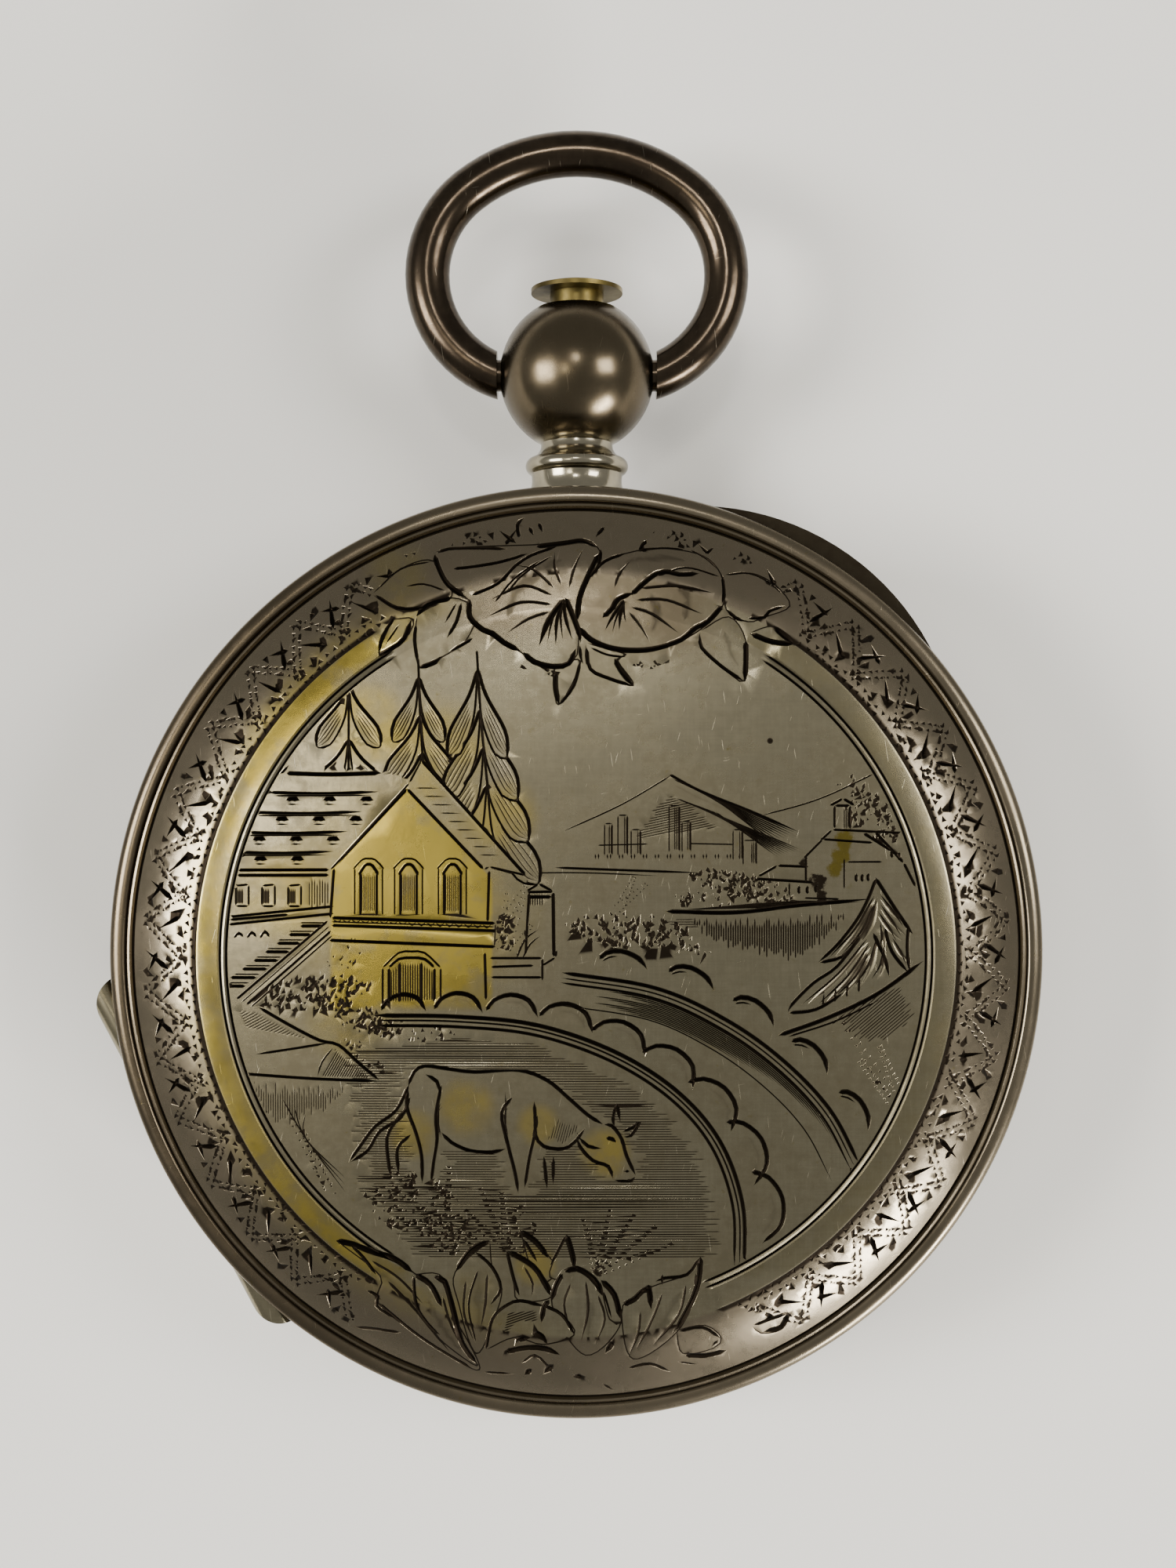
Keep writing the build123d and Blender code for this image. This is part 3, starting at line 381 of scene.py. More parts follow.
# The thumb lip's dark colours are painted shade for its shadow under the rim.
shaded_lip_finish = worn_silver("thumb lip silver", GREY_SILVER, BROWN_SILVER, 0.3, 0.006, lip_painted_shade)
numeral_finish = black_enamel("numeral black")


# ---- meshes ----

def polar(radius, angle):
    return (radius * cos(radians(angle)), radius * sin(radians(angle)))


def new_mesh(name, points, faces, finish, sharp=30, attributes=()):
    """A mesh from points in millimetres, smooth but for edges sharper than an angle."""
    mesh = bpy.data.meshes.new(name)
    mesh.from_pydata((np.asarray(points, float) * MM).tolist(), [], faces)
    mesh.materials.append(finish)
    mesh.shade_smooth()
    mesh.set_sharp_from_angle(angle=radians(sharp))
    for key, values in dict(attributes).items():
        layer = mesh.attributes.new(key, "FLOAT", "POINT")
        layer.data.foreach_set("value", np.asarray(values, np.float32))
    mesh.update()
    return mesh


def add_piece(name, mesh, body, replaced=()):
    piece = bpy.data.objects.new(name, mesh)
    bpy.context.scene.collection.objects.link(piece)
    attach(piece, body)
    if replaced:
        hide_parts(*replaced)
    return piece


def extruded(name, outlines, bottom, top, finish):
    """Flat plates with the outlines' shapes, between two heights."""
    points = []
    faces = []
    for outline in outlines:
        count = len(outline)
        first = len(points)
        points += [(x, y, bottom) for x, y in outline] + [(x, y, top) for x, y in outline]
        area = sum(a[0] * b[1] - b[0] * a[1] for a, b in zip(outline, outline[1:] + outline[:1]))
        ring = list(range(count)) if area > 0 else list(range(count - 1, -1, -1))
        faces.append([first + corner for corner in reversed(ring)])
        faces.append([first + count + corner for corner in ring])
        for here, after in zip(ring, ring[1:] + ring[:1]):
            faces.append([first + here, first + after, first + count + after, first + count + here])
    return new_mesh(name, points, faces, finish)


# ---- engraving: every cut is a row of points with half widths ----

class Plate:
    """The cuts in the back cover. A cut is deepest along its middle and ends at its edges."""

    def __init__(self):
        self.cuts = []
        self.random = random.Random(7)

    def add(self, points, halves, slope=0.9, dark=1.0):
        self.cuts.append((np.array(points, float), np.array(halves, float), slope, dark))

    def stroke(self, points, width=0.1, head=0.2, tail=0.45, bend=True, slope=0.9, dark=1.0, spacing=0.34):
        """One pull of the graver, which swells after its head and fades along its tail."""
        width = 1.25 * width
        dark = dark ** 0.6
        path = curved(points, spacing) if bend and len(points) > 2 else [tuple(point) for point in points]
        lengths = [0.0]
        for start, end in zip(path, path[1:]):
            lengths.append(lengths[-1] + hypot(end[0] - start[0], end[1] - start[1]))
        total = lengths[-1]
        if total < 0.02:
            return
        stops = sorted(set(lengths) | {min(head, 0.4 * total), total - min(tail, 0.5 * total)})
        stops = [stop for place, stop in enumerate(stops) if place == 0 or stop - stops[place - 1] > 0.03]
        xs = np.interp(stops, lengths, [point[0] for point in path])
        ys = np.interp(stops, lengths, [point[1] for point in path])
        halves = []
        for stop in stops:
            rise = min(1.0, stop / max(min(head, 0.4 * total), 0.001)) ** 0.6
            fall = min(1.0, (total - stop) / max(min(tail, 0.5 * total), 0.001)) ** 0.8
            halves.append(0.5 * width * rise * fall)
        self.add(list(zip(xs, ys)), halves, slope, dark)

    def lines(self, *rows, **form):
        for row in rows:
            self.stroke(row, **form)

    def clear(self, hidden):
        """Takes away what lies where hidden(x, y) is true."""
        kept = []
        for path, halves, slope, dark in self.cuts:
            if not hidden(path[:, 0], path[:, 1]).any() and len(path) > 2:
                kept.append((path, halves, slope, dark))
                continue
            lengths = np.concatenate([[0], np.cumsum(np.hypot(*np.diff(path, axis=0).T))])
            fine = np.linspace(0, lengths[-1], max(3, ceil(lengths[-1] / 0.08)))
            shown = ~hidden(np.interp(fine, lengths, path[:, 0]), np.interp(fine, lengths, path[:, 1]))
            if shown.all():
                kept.append((path, halves, slope, dark))
                continue
            if len(path) == 2 and halves[1] == 0:
                continue
            changes = np.flatnonzero(np.diff(np.concatenate([[0], shown.astype(int), [0]])))
            for start, end in zip(changes[::2], changes[1::2] - 1):
                if fine[end] - fine[start] < 0.1:
                    continue
                stops = [stop for stop in lengths if fine[start] + 0.02 < stop < fine[end] - 0.02]
                stops = np.array([fine[start]] + stops + [fine[end]])
                rows = [np.interp(stops, lengths, values) for values in (path[:, 0], path[:, 1], halves)]
                kept.append((np.column_stack(rows[:2]), rows[2], slope, dark))
        self.cuts = kept

    def leaf(self, area, *cuts, spacing=0.34):
        """A leaf or petal in front of what is cut so far. Each of its cuts is a width and then a path."""
        self.clear(inside(area))
        if cuts:
            self.stroke(area + area[:1], 0.06, 0.3, 0.3, dark=0.6, slope=0.15)
        for width, *path in cuts:
            if width > 0:
                self.stroke(path, width, 0.2, 0.35, spacing=spacing)
            else:
                self.shade(path, -width)

    def shade(self, points, width, dark=0.17, slope=0.0):
        """A broad soft tone with no depth."""
        path = curved(points, 0.34) if len(points) > 2 else points
        halves = [0.5 * width * (4 * share * (1 - share)) ** 0.5 for share in np.linspace(0, 1, len(path))]
        self.add(path, halves, slope, dark)

    def ruled(self, *rows, width=0.08):
        """Straight lines through their corners."""
        for row in rows:
            for start, end in zip(row, row[1:]):
                self.stroke([start, end], width, 0.1, 0.12, bend=False)

    def pit(self, place, angle, size=0.17, dark=1.0):
        """A triangular wedge punch, deepest near its wide end."""
        x, y = place
        dx, dy = polar(size, angle)
        self.add([(x, y), (x + dx, y + dy)], [0.42 * size, 0.0], 0.4, dark)

    def stipple(self, place, reach, count, angle=90, size=0.13, spread=18, turn=0):
        """Wedge punches scattered in an ellipse."""
        size = 1.35 * size
        for _ in range(count):
            share = sqrt(self.random.random())
            way = self.random.uniform(0, 360)
            along = share * reach[0] * cos(radians(way))
            across = share * reach[1] * sin(radians(way))
            x = place[0] + along * cos(radians(turn)) - across * sin(radians(turn))
            y = place[1] + along * sin(radians(turn)) + across * cos(radians(turn))
            self.pit((x, y), angle + self.random.uniform(-spread, spread),
                     size * self.random.uniform(0.75, 1.3))

    def hatch(self, area, angle, gap, width=0.045, holes=(), dark=0.6, ragged=0.0):
        """Fine parallel lines inside an area and outside its holes."""
        turned = [turned_point(point, -angle) for point in area]
        turned_holes = [[turned_point(point, -angle) for point in hole] for hole in holes]
        level = min(y for _, y in turned) + 0.5 * gap
        top = max(y for _, y in turned)
        while level < top:
            stretches = crossings(turned, level)
            for hole in turned_holes:
                stretches = without(stretches, crossings(hole, level))
            for start, end in stretches:
                start += self.random.uniform(0, ragged)
                end -= self.random.uniform(0, ragged)
                if end - start > 0.15:
                    ends = [turned_point((start, level), angle), turned_point((end, level), angle)]
                    self.stroke(ends, width, 0.1, 0.2, bend=False, slope=0.15, dark=dark)
            level += gap


def turned_point(point, angle):
    c, s = cos(radians(angle)), sin(radians(angle))
    return (point[0] * c - point[1] * s, point[0] * s + point[1] * c)


def inside(area):
    """Tells which points lie inside an outline."""
    corners = list(zip(area, area[1:] + area[:1]))
    least = np.min(area, axis=0)
    most = np.max(area, axis=0)

    def hidden(x, y):
        within = np.zeros(len(x), bool)
        if x.max() < least[0] or x.min() > most[0] or y.max() < least[1] or y.min() > most[1]:
            return within
        for (x0, y0), (x1, y1) in corners:
            if y0 != y1:
                within ^= ((y0 > y) != (y1 > y)) & (x < x0 + (y - y0) * (x1 - x0) / (y1 - y0))
        return within
    return hidden


def crossings(area, level):
    """The stretches of a level line that lie inside an area."""
    xs = []
    for (x0, y0), (x1, y1) in zip(area, area[1:] + area[:1]):
        if (y0 > level) != (y1 > level):
            xs.append(x0 + (level - y0) * (x1 - x0) / (y1 - y0))
    xs.sort()
    return list(zip(xs[::2], xs[1::2]))


def without(stretches, removed):
    for start, end in removed:
        kept = []
        for low_x, high_x in stretches:
            if end <= low_x or start >= high_x:
                kept.append((low_x, high_x))
                continue
            if start > low_x:
                kept.append((low_x, start))
            if end < high_x:
                kept.append((end, high_x))
        stretches = kept
    return stretches


def curved(points, spacing):
    """A smooth path through the points, with a point about every spacing."""
    corners = [Vector(point) for point in points]
    padded = [2 * corners[0] - corners[1]] + corners + [2 * corners[-1] - corners[-2]]
    path = [tuple(corners[0])]
    for before, start, end, after in zip(padded, padded[1:], padded[2:], padded[3:]):
        steps = max(2, ceil((end - start).length / spacing))
        for step in range(1, steps + 1):
            t = step / steps
            place = 0.5 * (2 * start + (end - before) * t
                           + (2 * before - 5 * start + 4 * end - after) * t ** 2
                           + (3 * start - before - 3 * end + after) * t ** 3)
            path.append(tuple(place))
    return path


def placed(points, place, size=1.0, turn=0.0):
    """Points of a figure, turned, sized and moved to a place."""
    result = []
    for x, y in points:
        x, y = turned_point((x, y), turn)
        result.append((place[0] + size * x, place[1] + size * y))
    return result


# ---- the engraved scene: a chalet by a lake, in the field's own millimetres ----

def engrave_roofs(plate):
    gable, left_eave, right_eave = (-7.05, 7.0), (-10.1, 3.75), (-3.85, 3.65)
    slab_top, slab_end = (-6.45, 8.2), (-2.1, 3.4)
    plate.ruled((left_eave, gable), (gable, right_eave), (slab_top, slab_end), width=0.12)
    plate.ruled(((-10.25, 3.62), (-6.95, 7.25), slab_top), (right_eave, (-3.6, 3.75), slab_end), width=0.08)
    for row in range(9):
        share = (row + 0.7) / 9.6
        start = (gable[0] + share * (right_eave[0] - gable[0]),
                 gable[1] + share * (right_eave[1] - gable[1]))
        plate.stroke([(start[0] + 0.12, start[1] + 0.28), (start[0] + 1.15 - 0.02 * row, start[1] + 0.27)],
                     0.045,
                     bend=False)
    plate.stroke([(-12.0, 8.0), (-13.6, 6.2), (-14.35, 5.1)], 0.11)
    plate.stroke([(-12.1, 7.65), (-10.2, 7.6), (-8.1, 7.66)], 0.16, 0.1, 0.3)
    for row, (left, right) in enumerate([(-12.9, -8.2), (-13.6, -8.9), (-14.3, -9.5), (-14.5, -10.1)]):
        y = 6.85 - 0.83 * row
        plate.stroke([(left, y), ((left + right) / 2, y - 0.05), (right, y + 0.03)], 0.12, 0.3, 0.8)
        plate.stroke([(left + 0.2, y - 0.14), (right - 0.2, y - 0.12)], 0.06, 0.3, 0.8, bend=False)
        for slate in range(3):
            x = left + 0.75 + 1.55 * slate + 0.25 * (row % 2)
            if x < right - 0.3:
                plate.stroke([(x, y - 0.32), (x + 0.3, y - 0.24), (x + 0.62, y - 0.34)], 0.2, 0.2, 0.2)
                plate.stroke([(x + 0.05, y - 0.5), (x + 0.6, y - 0.5)], 0.06, bend=False)
    plate.ruled(((-14.6, 3.6), (-10.3, 3.62)), ((-14.55, 3.38), (-10.3, 3.4)), width=0.12)


def engrave_window(plate, x, bottom, top, half):
    """An arched window in its frame, shaded inside."""
    for grow, width in ((0.0, 0.1), (0.24, 0.06)):
        side = half + grow
        crown = top + grow
        plate.stroke([(x - side, bottom), (x - side, crown - 0.4)], width, 0.05, 0.05, bend=False)
        plate.stroke([(x + side, bottom), (x + side, crown - 0.4)], width, 0.05, 0.05, bend=False)
        plate.stroke([(x - side - 0.08, crown - 0.45), (x - 0.5 * side, crown - 0.06), (x, crown),
                      (x + 0.5 * side, crown - 0.06), (x + side + 0.08, crown - 0.45)], 1.2 * width, 0.1,
                     0.1)
    area = [(x - half + 0.06, bottom + 0.1), (x + half - 0.06, bottom + 0.1), (x + half - 0.06, top - 0.35),
            (x - half + 0.06, top - 0.35)]
    plate.hatch(area, 90, 0.085, 0.05)


def engrave_chalet(plate):
    engrave_roofs(plate)
    plate.ruled(((-10.1, 3.7), (-10.25, 1.6)), ((-3.62, 3.6), (-3.68, 1.45)), ((-3.8, 0.2), (-3.75, -1.8)),
                width=0.11)
    for x in (-8.65, -6.98, -5.15):
        engrave_window(plate, x, 1.75, 3.85, 0.34)
    plate.ruled(((-10.2, 1.62), (-3.35, 1.4)), ((-10.2, 1.3), (-3.3, 1.08)), ((-10.3, 0.68), (-3.35, 0.42)),
                width=0.12)
    plate.ruled(((-10.2, 1.45), (-3.4, 1.25)), ((-3.35, 1.4), (-3.4, 0.4)), width=0.05)
    for scallop in range(17):
        x = -9.95 + 0.39 * scallop
        y = 1.56 - 0.033 * (x + 10.2)
        plate.stroke([(x - 0.17, y), (x, y - 0.13), (x + 0.17, y)], 0.07, 0.1, 0.1)
    # door under the balcony
    for grow, width in ((0.0, 0.11), (0.26, 0.08)):
        half = 0.95 + grow
        plate.stroke([(-6.85 - half, -1.95), (-6.85 - half, -0.45)], width, 0.05, 0.1, bend=False)
        plate.stroke([(-6.85 + half, -1.8), (-6.85 + half, -0.45)], width, 0.05, 0.1, bend=False)
        plate.stroke([(-6.85 - half, -0.45), (-7.4, -0.1 + grow), (-6.85, -0.04 + grow), (-6.3, -0.1 + grow),
                      (-6.85 + half, -0.45)], width, 0.1, 0.1)
    plate.hatch([(-7.75, -1.9), (-5.95, -1.85), (-5.95, -0.5), (-6.4, -0.2), (-7.3, -0.2), (-7.75, -0.5)],
                90, 0.1, 0.06)
    plate.ruled(((-7.35, -1.9), (-7.35, -0.2)), ((-6.45, -1.85), (-6.45, -0.2)), width=0.08)
    # left wing's wall, its small windows and the boards under them
    for x in (-13.95, -12.85, -11.75):
        plate.ruled(((x - 0.27, 2.95), (x - 0.27, 2.1), (x + 0.27, 2.1), (x + 0.27, 3.0), (x - 0.27, 2.95)),
                    width=0.08)
        plate.hatch([(x - 0.2, 2.15), (x + 0.05, 2.15), (x + 0.05, 2.9), (x - 0.2, 2.9)], 90, 0.07, 0.06)
    plate.hatch([(-11.2, 1.9), (-10.35, 1.9), (-10.3, 3.35), (-11.2, 3.35)], 90, 0.11, 0.05, ragged=0.3)
    plate.ruled(((-14.75, 1.62), (-10.1, 2.1)), ((-14.75, 1.3), (-10.1, 1.8)),
                ((-14.75, 1.5), (-12.0, 1.75)), width=0.1)
    # stair and its banister
    for step in range(8):
        y = -1.25 + 0.36 * step
        right = -13.95 + 0.46 * step
        plate.ruled(((right - 1.0 + 0.03 * step, y), (right + 0.15, y)), width=0.12)
        plate.ruled(((right - 0.8, y + 0.14), (right + 0.3, y + 0.14)), width=0.05)
    for shift, width in ((0.0, 0.1), (0.2, 0.05), (0.38, 0.1), (0.55, 0.06)):
        plate.ruled(((-14.2 + 1.1 * shift, -1.8 - 0.6 * shift), (-10.35 + 0.35 * shift, 1.5 - 1.1 * shift)),
                    width=width)
    for arch in range(3):
        x = -14.1 + 0.55 * arch
        plate.stroke([(x - 0.2, 0.75), (x, 0.98 + 0.04 * arch), (x + 0.2, 0.8)], 0.1, 0.1, 0.1)
    # plinth beside the chalet
    plate.ruled(((-3.6, -0.05), (-1.4, -0.05), (-1.4, -1.0)), ((-3.55, -0.42), (-1.75, -0.36)), width=0.09)
    plate.ruled(((-3.55, -0.85), (-1.4, -0.85)), ((-1.4, -0.35), (-0.85, -0.02), (-0.8, 0.3)), width=0.09)


def engrave_post(plate):
    """A square stone post with a cap."""
    plate.ruled(((-2.05, 2.75), (-1.55, 3.05), (-0.95, 2.72), (-2.05, 2.7)), ((-1.95, 2.7), (-2.1, 0.1)),
                width=0.1)
    plate.ruled(((-0.95, 2.7), (-0.92, 0.0)), ((-2.0, 2.5), (-1.0, 2.5)), width=0.13)
    plate.stroke([(-2.5, -0.1), (-2.1, 0.75), (-1.55, 1.15)], 0.07)
    plate.stroke([(-2.25, -0.1), (-1.9, 0.55), (-1.45, 0.9)], 0.07)
    plate.hatch([(-1.95, 2.1), (-1.35, 2.1), (-1.35, 2.65), (-1.95, 2.65)], 90, 0.1, 0.05)


def engrave_leaf_fir(plate, top, tiers, height, spread, lean=0.0):
    """A fir of drooping leaf-like branches that hang from a pointed top."""
    x, y = top
    plate.stroke([(x, y + 0.3), (x + 0.3 * lean, y - 0.4 * height), (x + lean, y - height)], 0.09, 0.1, 1.5)
    for tier in reversed(range(tiers)):
        share = (tier + 0.3) / tiers
        start = (x + lean * share * 0.6, y - 0.72 * height * share)
        drop = 0.42 * height + 0.15 * tier
        for side in (-1, 1):
            reach = side * spread * (0.5 + 0.55 * share)
            tip = (start[0] + reach, start[1] - drop)
            outer = [start, (start[0] + 0.3 * reach, start[1] - 0.3 * drop),
                     (start[0] + 0.95 * reach, start[1] - 0.68 * drop),
                     (tip[0] + 0.06 * reach, tip[1] + 0.1 * drop), tip]
            inner = [tip, (start[0] + 0.6 * reach, start[1] - 0.95 * drop),
                     (start[0] + 0.14 * reach, start[1] - 0.55 * drop),
                     start]
            plate.leaf(outer[:-1] + inner[:-1], (0.13, *outer), (0.08, *inner))
            for vein in range(4):
                mix = 0.25 + 0.17 * vein
                row = [((1 - mix) * a[0] + mix * b[0], (1 - mix) * a[1] + mix * b[1])
                       for a, b in zip((outer[1], outer[2], outer[3]), (inner[2], inner[1], inner[0]))]
                plate.stroke(row, 0.045, 0.6, 0.6, dark=0.5, slope=0.2)
            plate.shade([row[0], row[1], row[2]], 0.5, 0.13)


def engrave_mountains(plate):
    plate.stroke([(-0.6, 5.2), (1.9, 6.35), (3.95, 7.55)], 0.06, 1.0, 0.3)
    plate.stroke([(3.9, 7.6), (5.2, 6.9), (7.2, 6.1), (9.3, 5.2)], 0.1, 0.1, 1.2)
    for shift, width in ((0.2, 0.5), (0.75, 0.6)):
        plate.shade([(4.0, 7.4 - shift), (5.4, 6.7 - shift), (7.2, 6.0 - shift), (9.6, 5.0 - shift)], width,
                    0.14)
    plate.shade([(0.2, 5.2), (2.2, 5.7), (4.0, 6.2), (5.8, 5.2)], 1.3, 0.1)
    plate.shade([(8.0, 5.4), (10.0, 5.9), (12.5, 6.9)], 0.7, 0.1)
    plate.stroke([(7.6, 5.85), (10.2, 6.6), (13.1, 7.95)], 0.06, 0.8, 0.3)
    for band, (start, end, thick) in enumerate([((4.05, 7.4), (9.2, 5.15), 0.5),
                                                ((4.2, 6.6), (9.4, 4.4), 0.35)]):
        for row in range(9):
            drop = thick * row / 9
            plate.stroke([(start[0] + 0.2 * row, start[1] - drop - 0.03 * row),
                          (end[0] - 0.12 * row, end[1] - drop + 0.05 * band)], 0.045, 0.2, 0.8, bend=False,
                         dark=0.6)
    plate.hatch([(2.4, 4.9), (6.0, 5.4), (4.9, 6.4), (3.9, 6.8), (3.1, 6.1)], 12, 0.1, 0.04, dark=0.45,
                ragged=0.3)
    for x, y, half, tall in ((1.35, 4.6, 0.16, 0.95), (1.95, 4.6, 0.2, 1.3), (2.5, 4.6, 0.2, 0.7),
                             (4.1, 4.75, 0.22, 1.55),
                             (4.6, 4.75, 0.18, 0.9), (6.75, 4.4, 0.2, 0.9), (7.25, 4.2, 0.28, 0.65)):
        plate.ruled(((x - half, y - 0.4), (x - half, y + tall), (x + half, y + tall), (x + half, y - 0.4)),
                    width=0.05)
        plate.hatch([(x, y - 0.35), (x + half, y - 0.35), (x + half, y + tall), (x, y + tall)], 90, 0.08,
                    0.05, dark=0.7)
    plate.ruled(((0.9, 4.65), (3.0, 4.7)), ((4.7, 4.72), (6.6, 4.68)), width=0.05)
    for place in range(14):
        x = 0.8 + 0.5 * place
        plate.ruled(((x, 4.3), (x + 0.02, 4.05)), ((x + 0.14, 4.32), (x + 0.14, 4.05)), width=0.06)
    plate.stroke([(-0.9, 3.72), (1.8, 3.62), (5.2, 3.5)], 0.09, 0.5, 1.5)
    plate.stroke([(-1.9, 3.5), (0.4, 3.5), (3.4, 3.38)], 0.05, 0.5, 1.5)


def engrave_shore(plate):
    """Houses and a tower at the right of the lake, over a spit of land."""
    plate.ruled(((10.8, 5.35), (10.8, 6.3), (11.45, 6.3), (11.45, 5.3)),
                ((10.6, 6.3), (11.15, 6.6), (11.65, 6.3)), width=0.1)
    plate.hatch([(11.15, 5.3), (11.4, 5.3), (11.4, 6.25), (11.15, 6.25)], 90, 0.08, 0.05)
    plate.ruled(((10.2, 4.85), (10.7, 5.3), (13.8, 5.15), (14.3, 4.6)),
                ((9.5, 4.1), (10.3, 4.9), (12.4, 4.75)), width=0.09)
    plate.ruled(((12.5, 5.2), (13.7, 3.9), (14.2, 2.9)), ((12.0, 5.15), (13.2, 4.4)), width=0.11)
    plate.ruled(((7.6, 3.35), (8.4, 3.8), (9.7, 3.75)), ((7.5, 3.25), (9.9, 3.1)), ((9.6, 4.2), (9.6, 3.1)),
                width=0.1)
    plate.ruled(((8.9, 3.1), (8.9, 2.5)), ((11.2, 4.1), (11.2, 2.8)), ((11.3, 3.95), (12.8, 3.95)),
                ((9.5, 2.45), (11, 2.4)), width=0.07)
    for x, y in ((9.3, 2.6), (9.65, 2.6), (10.0, 2.65), (11.7, 3.1), (11.95, 3.1), (12.2, 3.12), (13.2, 4.1),
                 (13.5, 4.0)):
        plate.ruled(((x, y), (x, y + 0.38)), width=0.13)
    plate.stipple((12.7, 5.9), (1.6, 1.0), 170, 75, 0.12, 40, -35)
    plate.stipple((11.6, 7.35), (0.9, 0.2), 12, 40, 0.1, 40, 20)
    plate.stipple((6.9, 2.9), (2.3, 0.55), 170, 85, 0.12, 40, -14)
    plate.stipple((5.4, 2.35), (1.3, 0.3), 30, 85, 0.1, 40, -5)
    plate.stroke([(3.7, 1.9), (6.6, 1.85), (9.3, 2.15), (12.3, 2.4)], 0.16, 0.3, 1.5)
    plate.shade([(4.2, 1.5), (7.5, 1.4), (11.2, 1.7)], 1.0, 0.14)
    plate.shade([(5.0, 0.7), (7.5, 0.5), (10.2, 0.9)], 1.2, 0.1)
    for row in range(5):
        plate.stroke([(4.6 + 0.5 * row, 1.98 + 0.04 * row), (9.0, 2.1 + 0.05 * row),
                      (12.0 - 0.3 * row, 2.3)], 0.05,
                     0.5, 1.0, dark=0.7)
    plate.hatch([(3.9, 1.65), (11.5, 1.9), (10.7, 0.8), (9.1, -0.3), (6.2, 0.3)], 90, 0.1, 0.06, dark=0.9,
                ragged=0.45)
    plate.hatch([(3.7, 1.5), (4.9, 1.65), (5.2, 1.2), (3.9, 1.3)], 0, 0.1, 0.04, dark=0.5)


def engrave_right_fir(plate):
    """A large drooping fir on a bank at the right."""
    plate.clear(inside([(12.5, 3.1), (11.7, 1.5), (10.1, -0.2), (10.2, -0.7), (8.8, -2.4), (10.0, -2.5),
                        (14.2, -0.4), (14.0, 1.2)]))
    plate.lines([(12.55, 3.3), (12.2, 2.4), (11.7, 1.5), (10.9, 0.5), (10.1, -0.25)],
                [(12.5, 3.3), (13.2, 2.2), (13.8, 1.3), (14.1, 0.9)],
                [(10.15, -0.25), (11.1, 0.0), (11.9, 0.8)], [(13.9, 1.3), (13.85, 0.3), (13.95, -0.7)],
                [(11.9, 0.9), (10.9, -0.4), (9.9, -1.1), (9.0, -2.0), (8.85, -2.35)],
                [(8.85, -2.35), (10.0, -2.2), (11.2, -1.5)],
                [(12.9, 1.2), (13.2, 0.2), (13.9, -0.7)], [(12.4, 1.0), (12.9, -0.1), (13.1, -0.9)],
                width=0.14)
    for start, end in (((12.5, 2.6), (10.5, -0.1)), ((12.5, 2.3), (11.1, 0.1)), ((12.6, 2.5), (11.6, 0.5)),
                       ((12.7, 2.6), (13.7, 1.2)),
                       ((12.7, 2.2), (13.6, 0.8)), ((12.6, 1.9), (13.4, 0.6)), ((12.2, 0.8), (9.4, -2.0)),
                       ((12.3, 0.6), (10.1, -2.0)),
                       ((12.3, 0.3), (10.8, -1.7)), ((12.6, 0.9), (11.6, -1.3)), ((12.9, 0.6), (12.3, -1.0)),
                       ((13.2, 0.8), (13.8, -0.4)), ((12.7, 1.5), (12.6, 0.2))):
        middle = (0.5 * (start[0] + end[0]) + 0.12, 0.5 * (start[1] + end[1]) - 0.12)
        plate.stroke([start, middle, end], 0.09, 0.6, 0.9, dark=0.7)
        plate.stroke([(start[0], start[1] - 0.2), (middle[0] + 0.1, middle[1] - 0.1),
                      (end[0] + 0.25, end[1])], 0.2, 0.8, 1.0,
                     dark=0.12, slope=0.4)
    plate.stroke([(8.4, -3.3), (10.5, -2.55), (12.6, -1.55), (14.5, -0.2)], 0.18, 0.3, 0.6)
    plate.stroke([(8.8, -3.35), (10.8, -2.7), (12.8, -1.75)], 0.08, 0.3, 0.9)
    for tuft in range(4):
        x = 10.3 + 0.5 * tuft
        plate.stroke([(x, -2.1 + 0.2 * tuft), (x + 0.05, -1.5 + 0.25 * tuft)], 0.09, 0.1, 0.3, bend=False)
    plate.hatch([(10.4, -2.8), (13.9, -0.9), (14.3, -2.6), (12.4, -3.8)], 40, 0.11, 0.05, dark=0.45,
                ragged=0.5)
    for start, end in (((13.6, -6.4), (11.2, -2.8)), ((13.7, -6.2), (12.7, -3.8)),
                       ((13.9, -6.0), (14.3, -3.2)),
                       ((13.4, -6.4), (11.9, -4.4)), ((13.8, -5.8), (14.0, -4.0))):
        sprig(plate, start, end, 13, 0.13)


def sprig(plate, start, end, count, size):
    """Two rows of small wedge punches along a stalk."""
    along = degrees(atan2(end[1] - start[1], end[0] - start[0]))
    for leaf in range(count):
        share = leaf / (count - 1)
        x = start[0] + share * (end[0] - start[0])
        y = start[1] + share * (end[1] - start[1])
        for side in (-1, 1):
            dx, dy = polar(0.11 * (1.3 - share), along + 90 * side)
            plate.pit((x + dx, y + dy), along + 50 * side + plate.random.uniform(-15, 15), size)


def along_arc(points, share):
    path = curved(points, 0.3)
    place = share * (len(path) - 1)
    first = min(int(place), len(path) - 2)
    part = place - first
    here, after = path[first], path[first + 1]
    heading = degrees(atan2(after[1] - here[1], after[0] - here[0]))
    return (here[0] + part * (after[0] - here[0]), here[1] + part * (after[1] - here[1])), heading


outer_road = [(-0.6, -0.65), (3.3, -1.3), (6.2, -2.6), (8.6, -4.3), (10.6, -6.4), (11.9, -8.8)]
inner_road = [(-8.3, -2.45), (-4.9, -2.5), (-1.6, -2.85), (1.6, -3.95), (4.2, -5.6), (6.0, -7.7),
              (6.95, -10.3), (7.05, -13.0)]


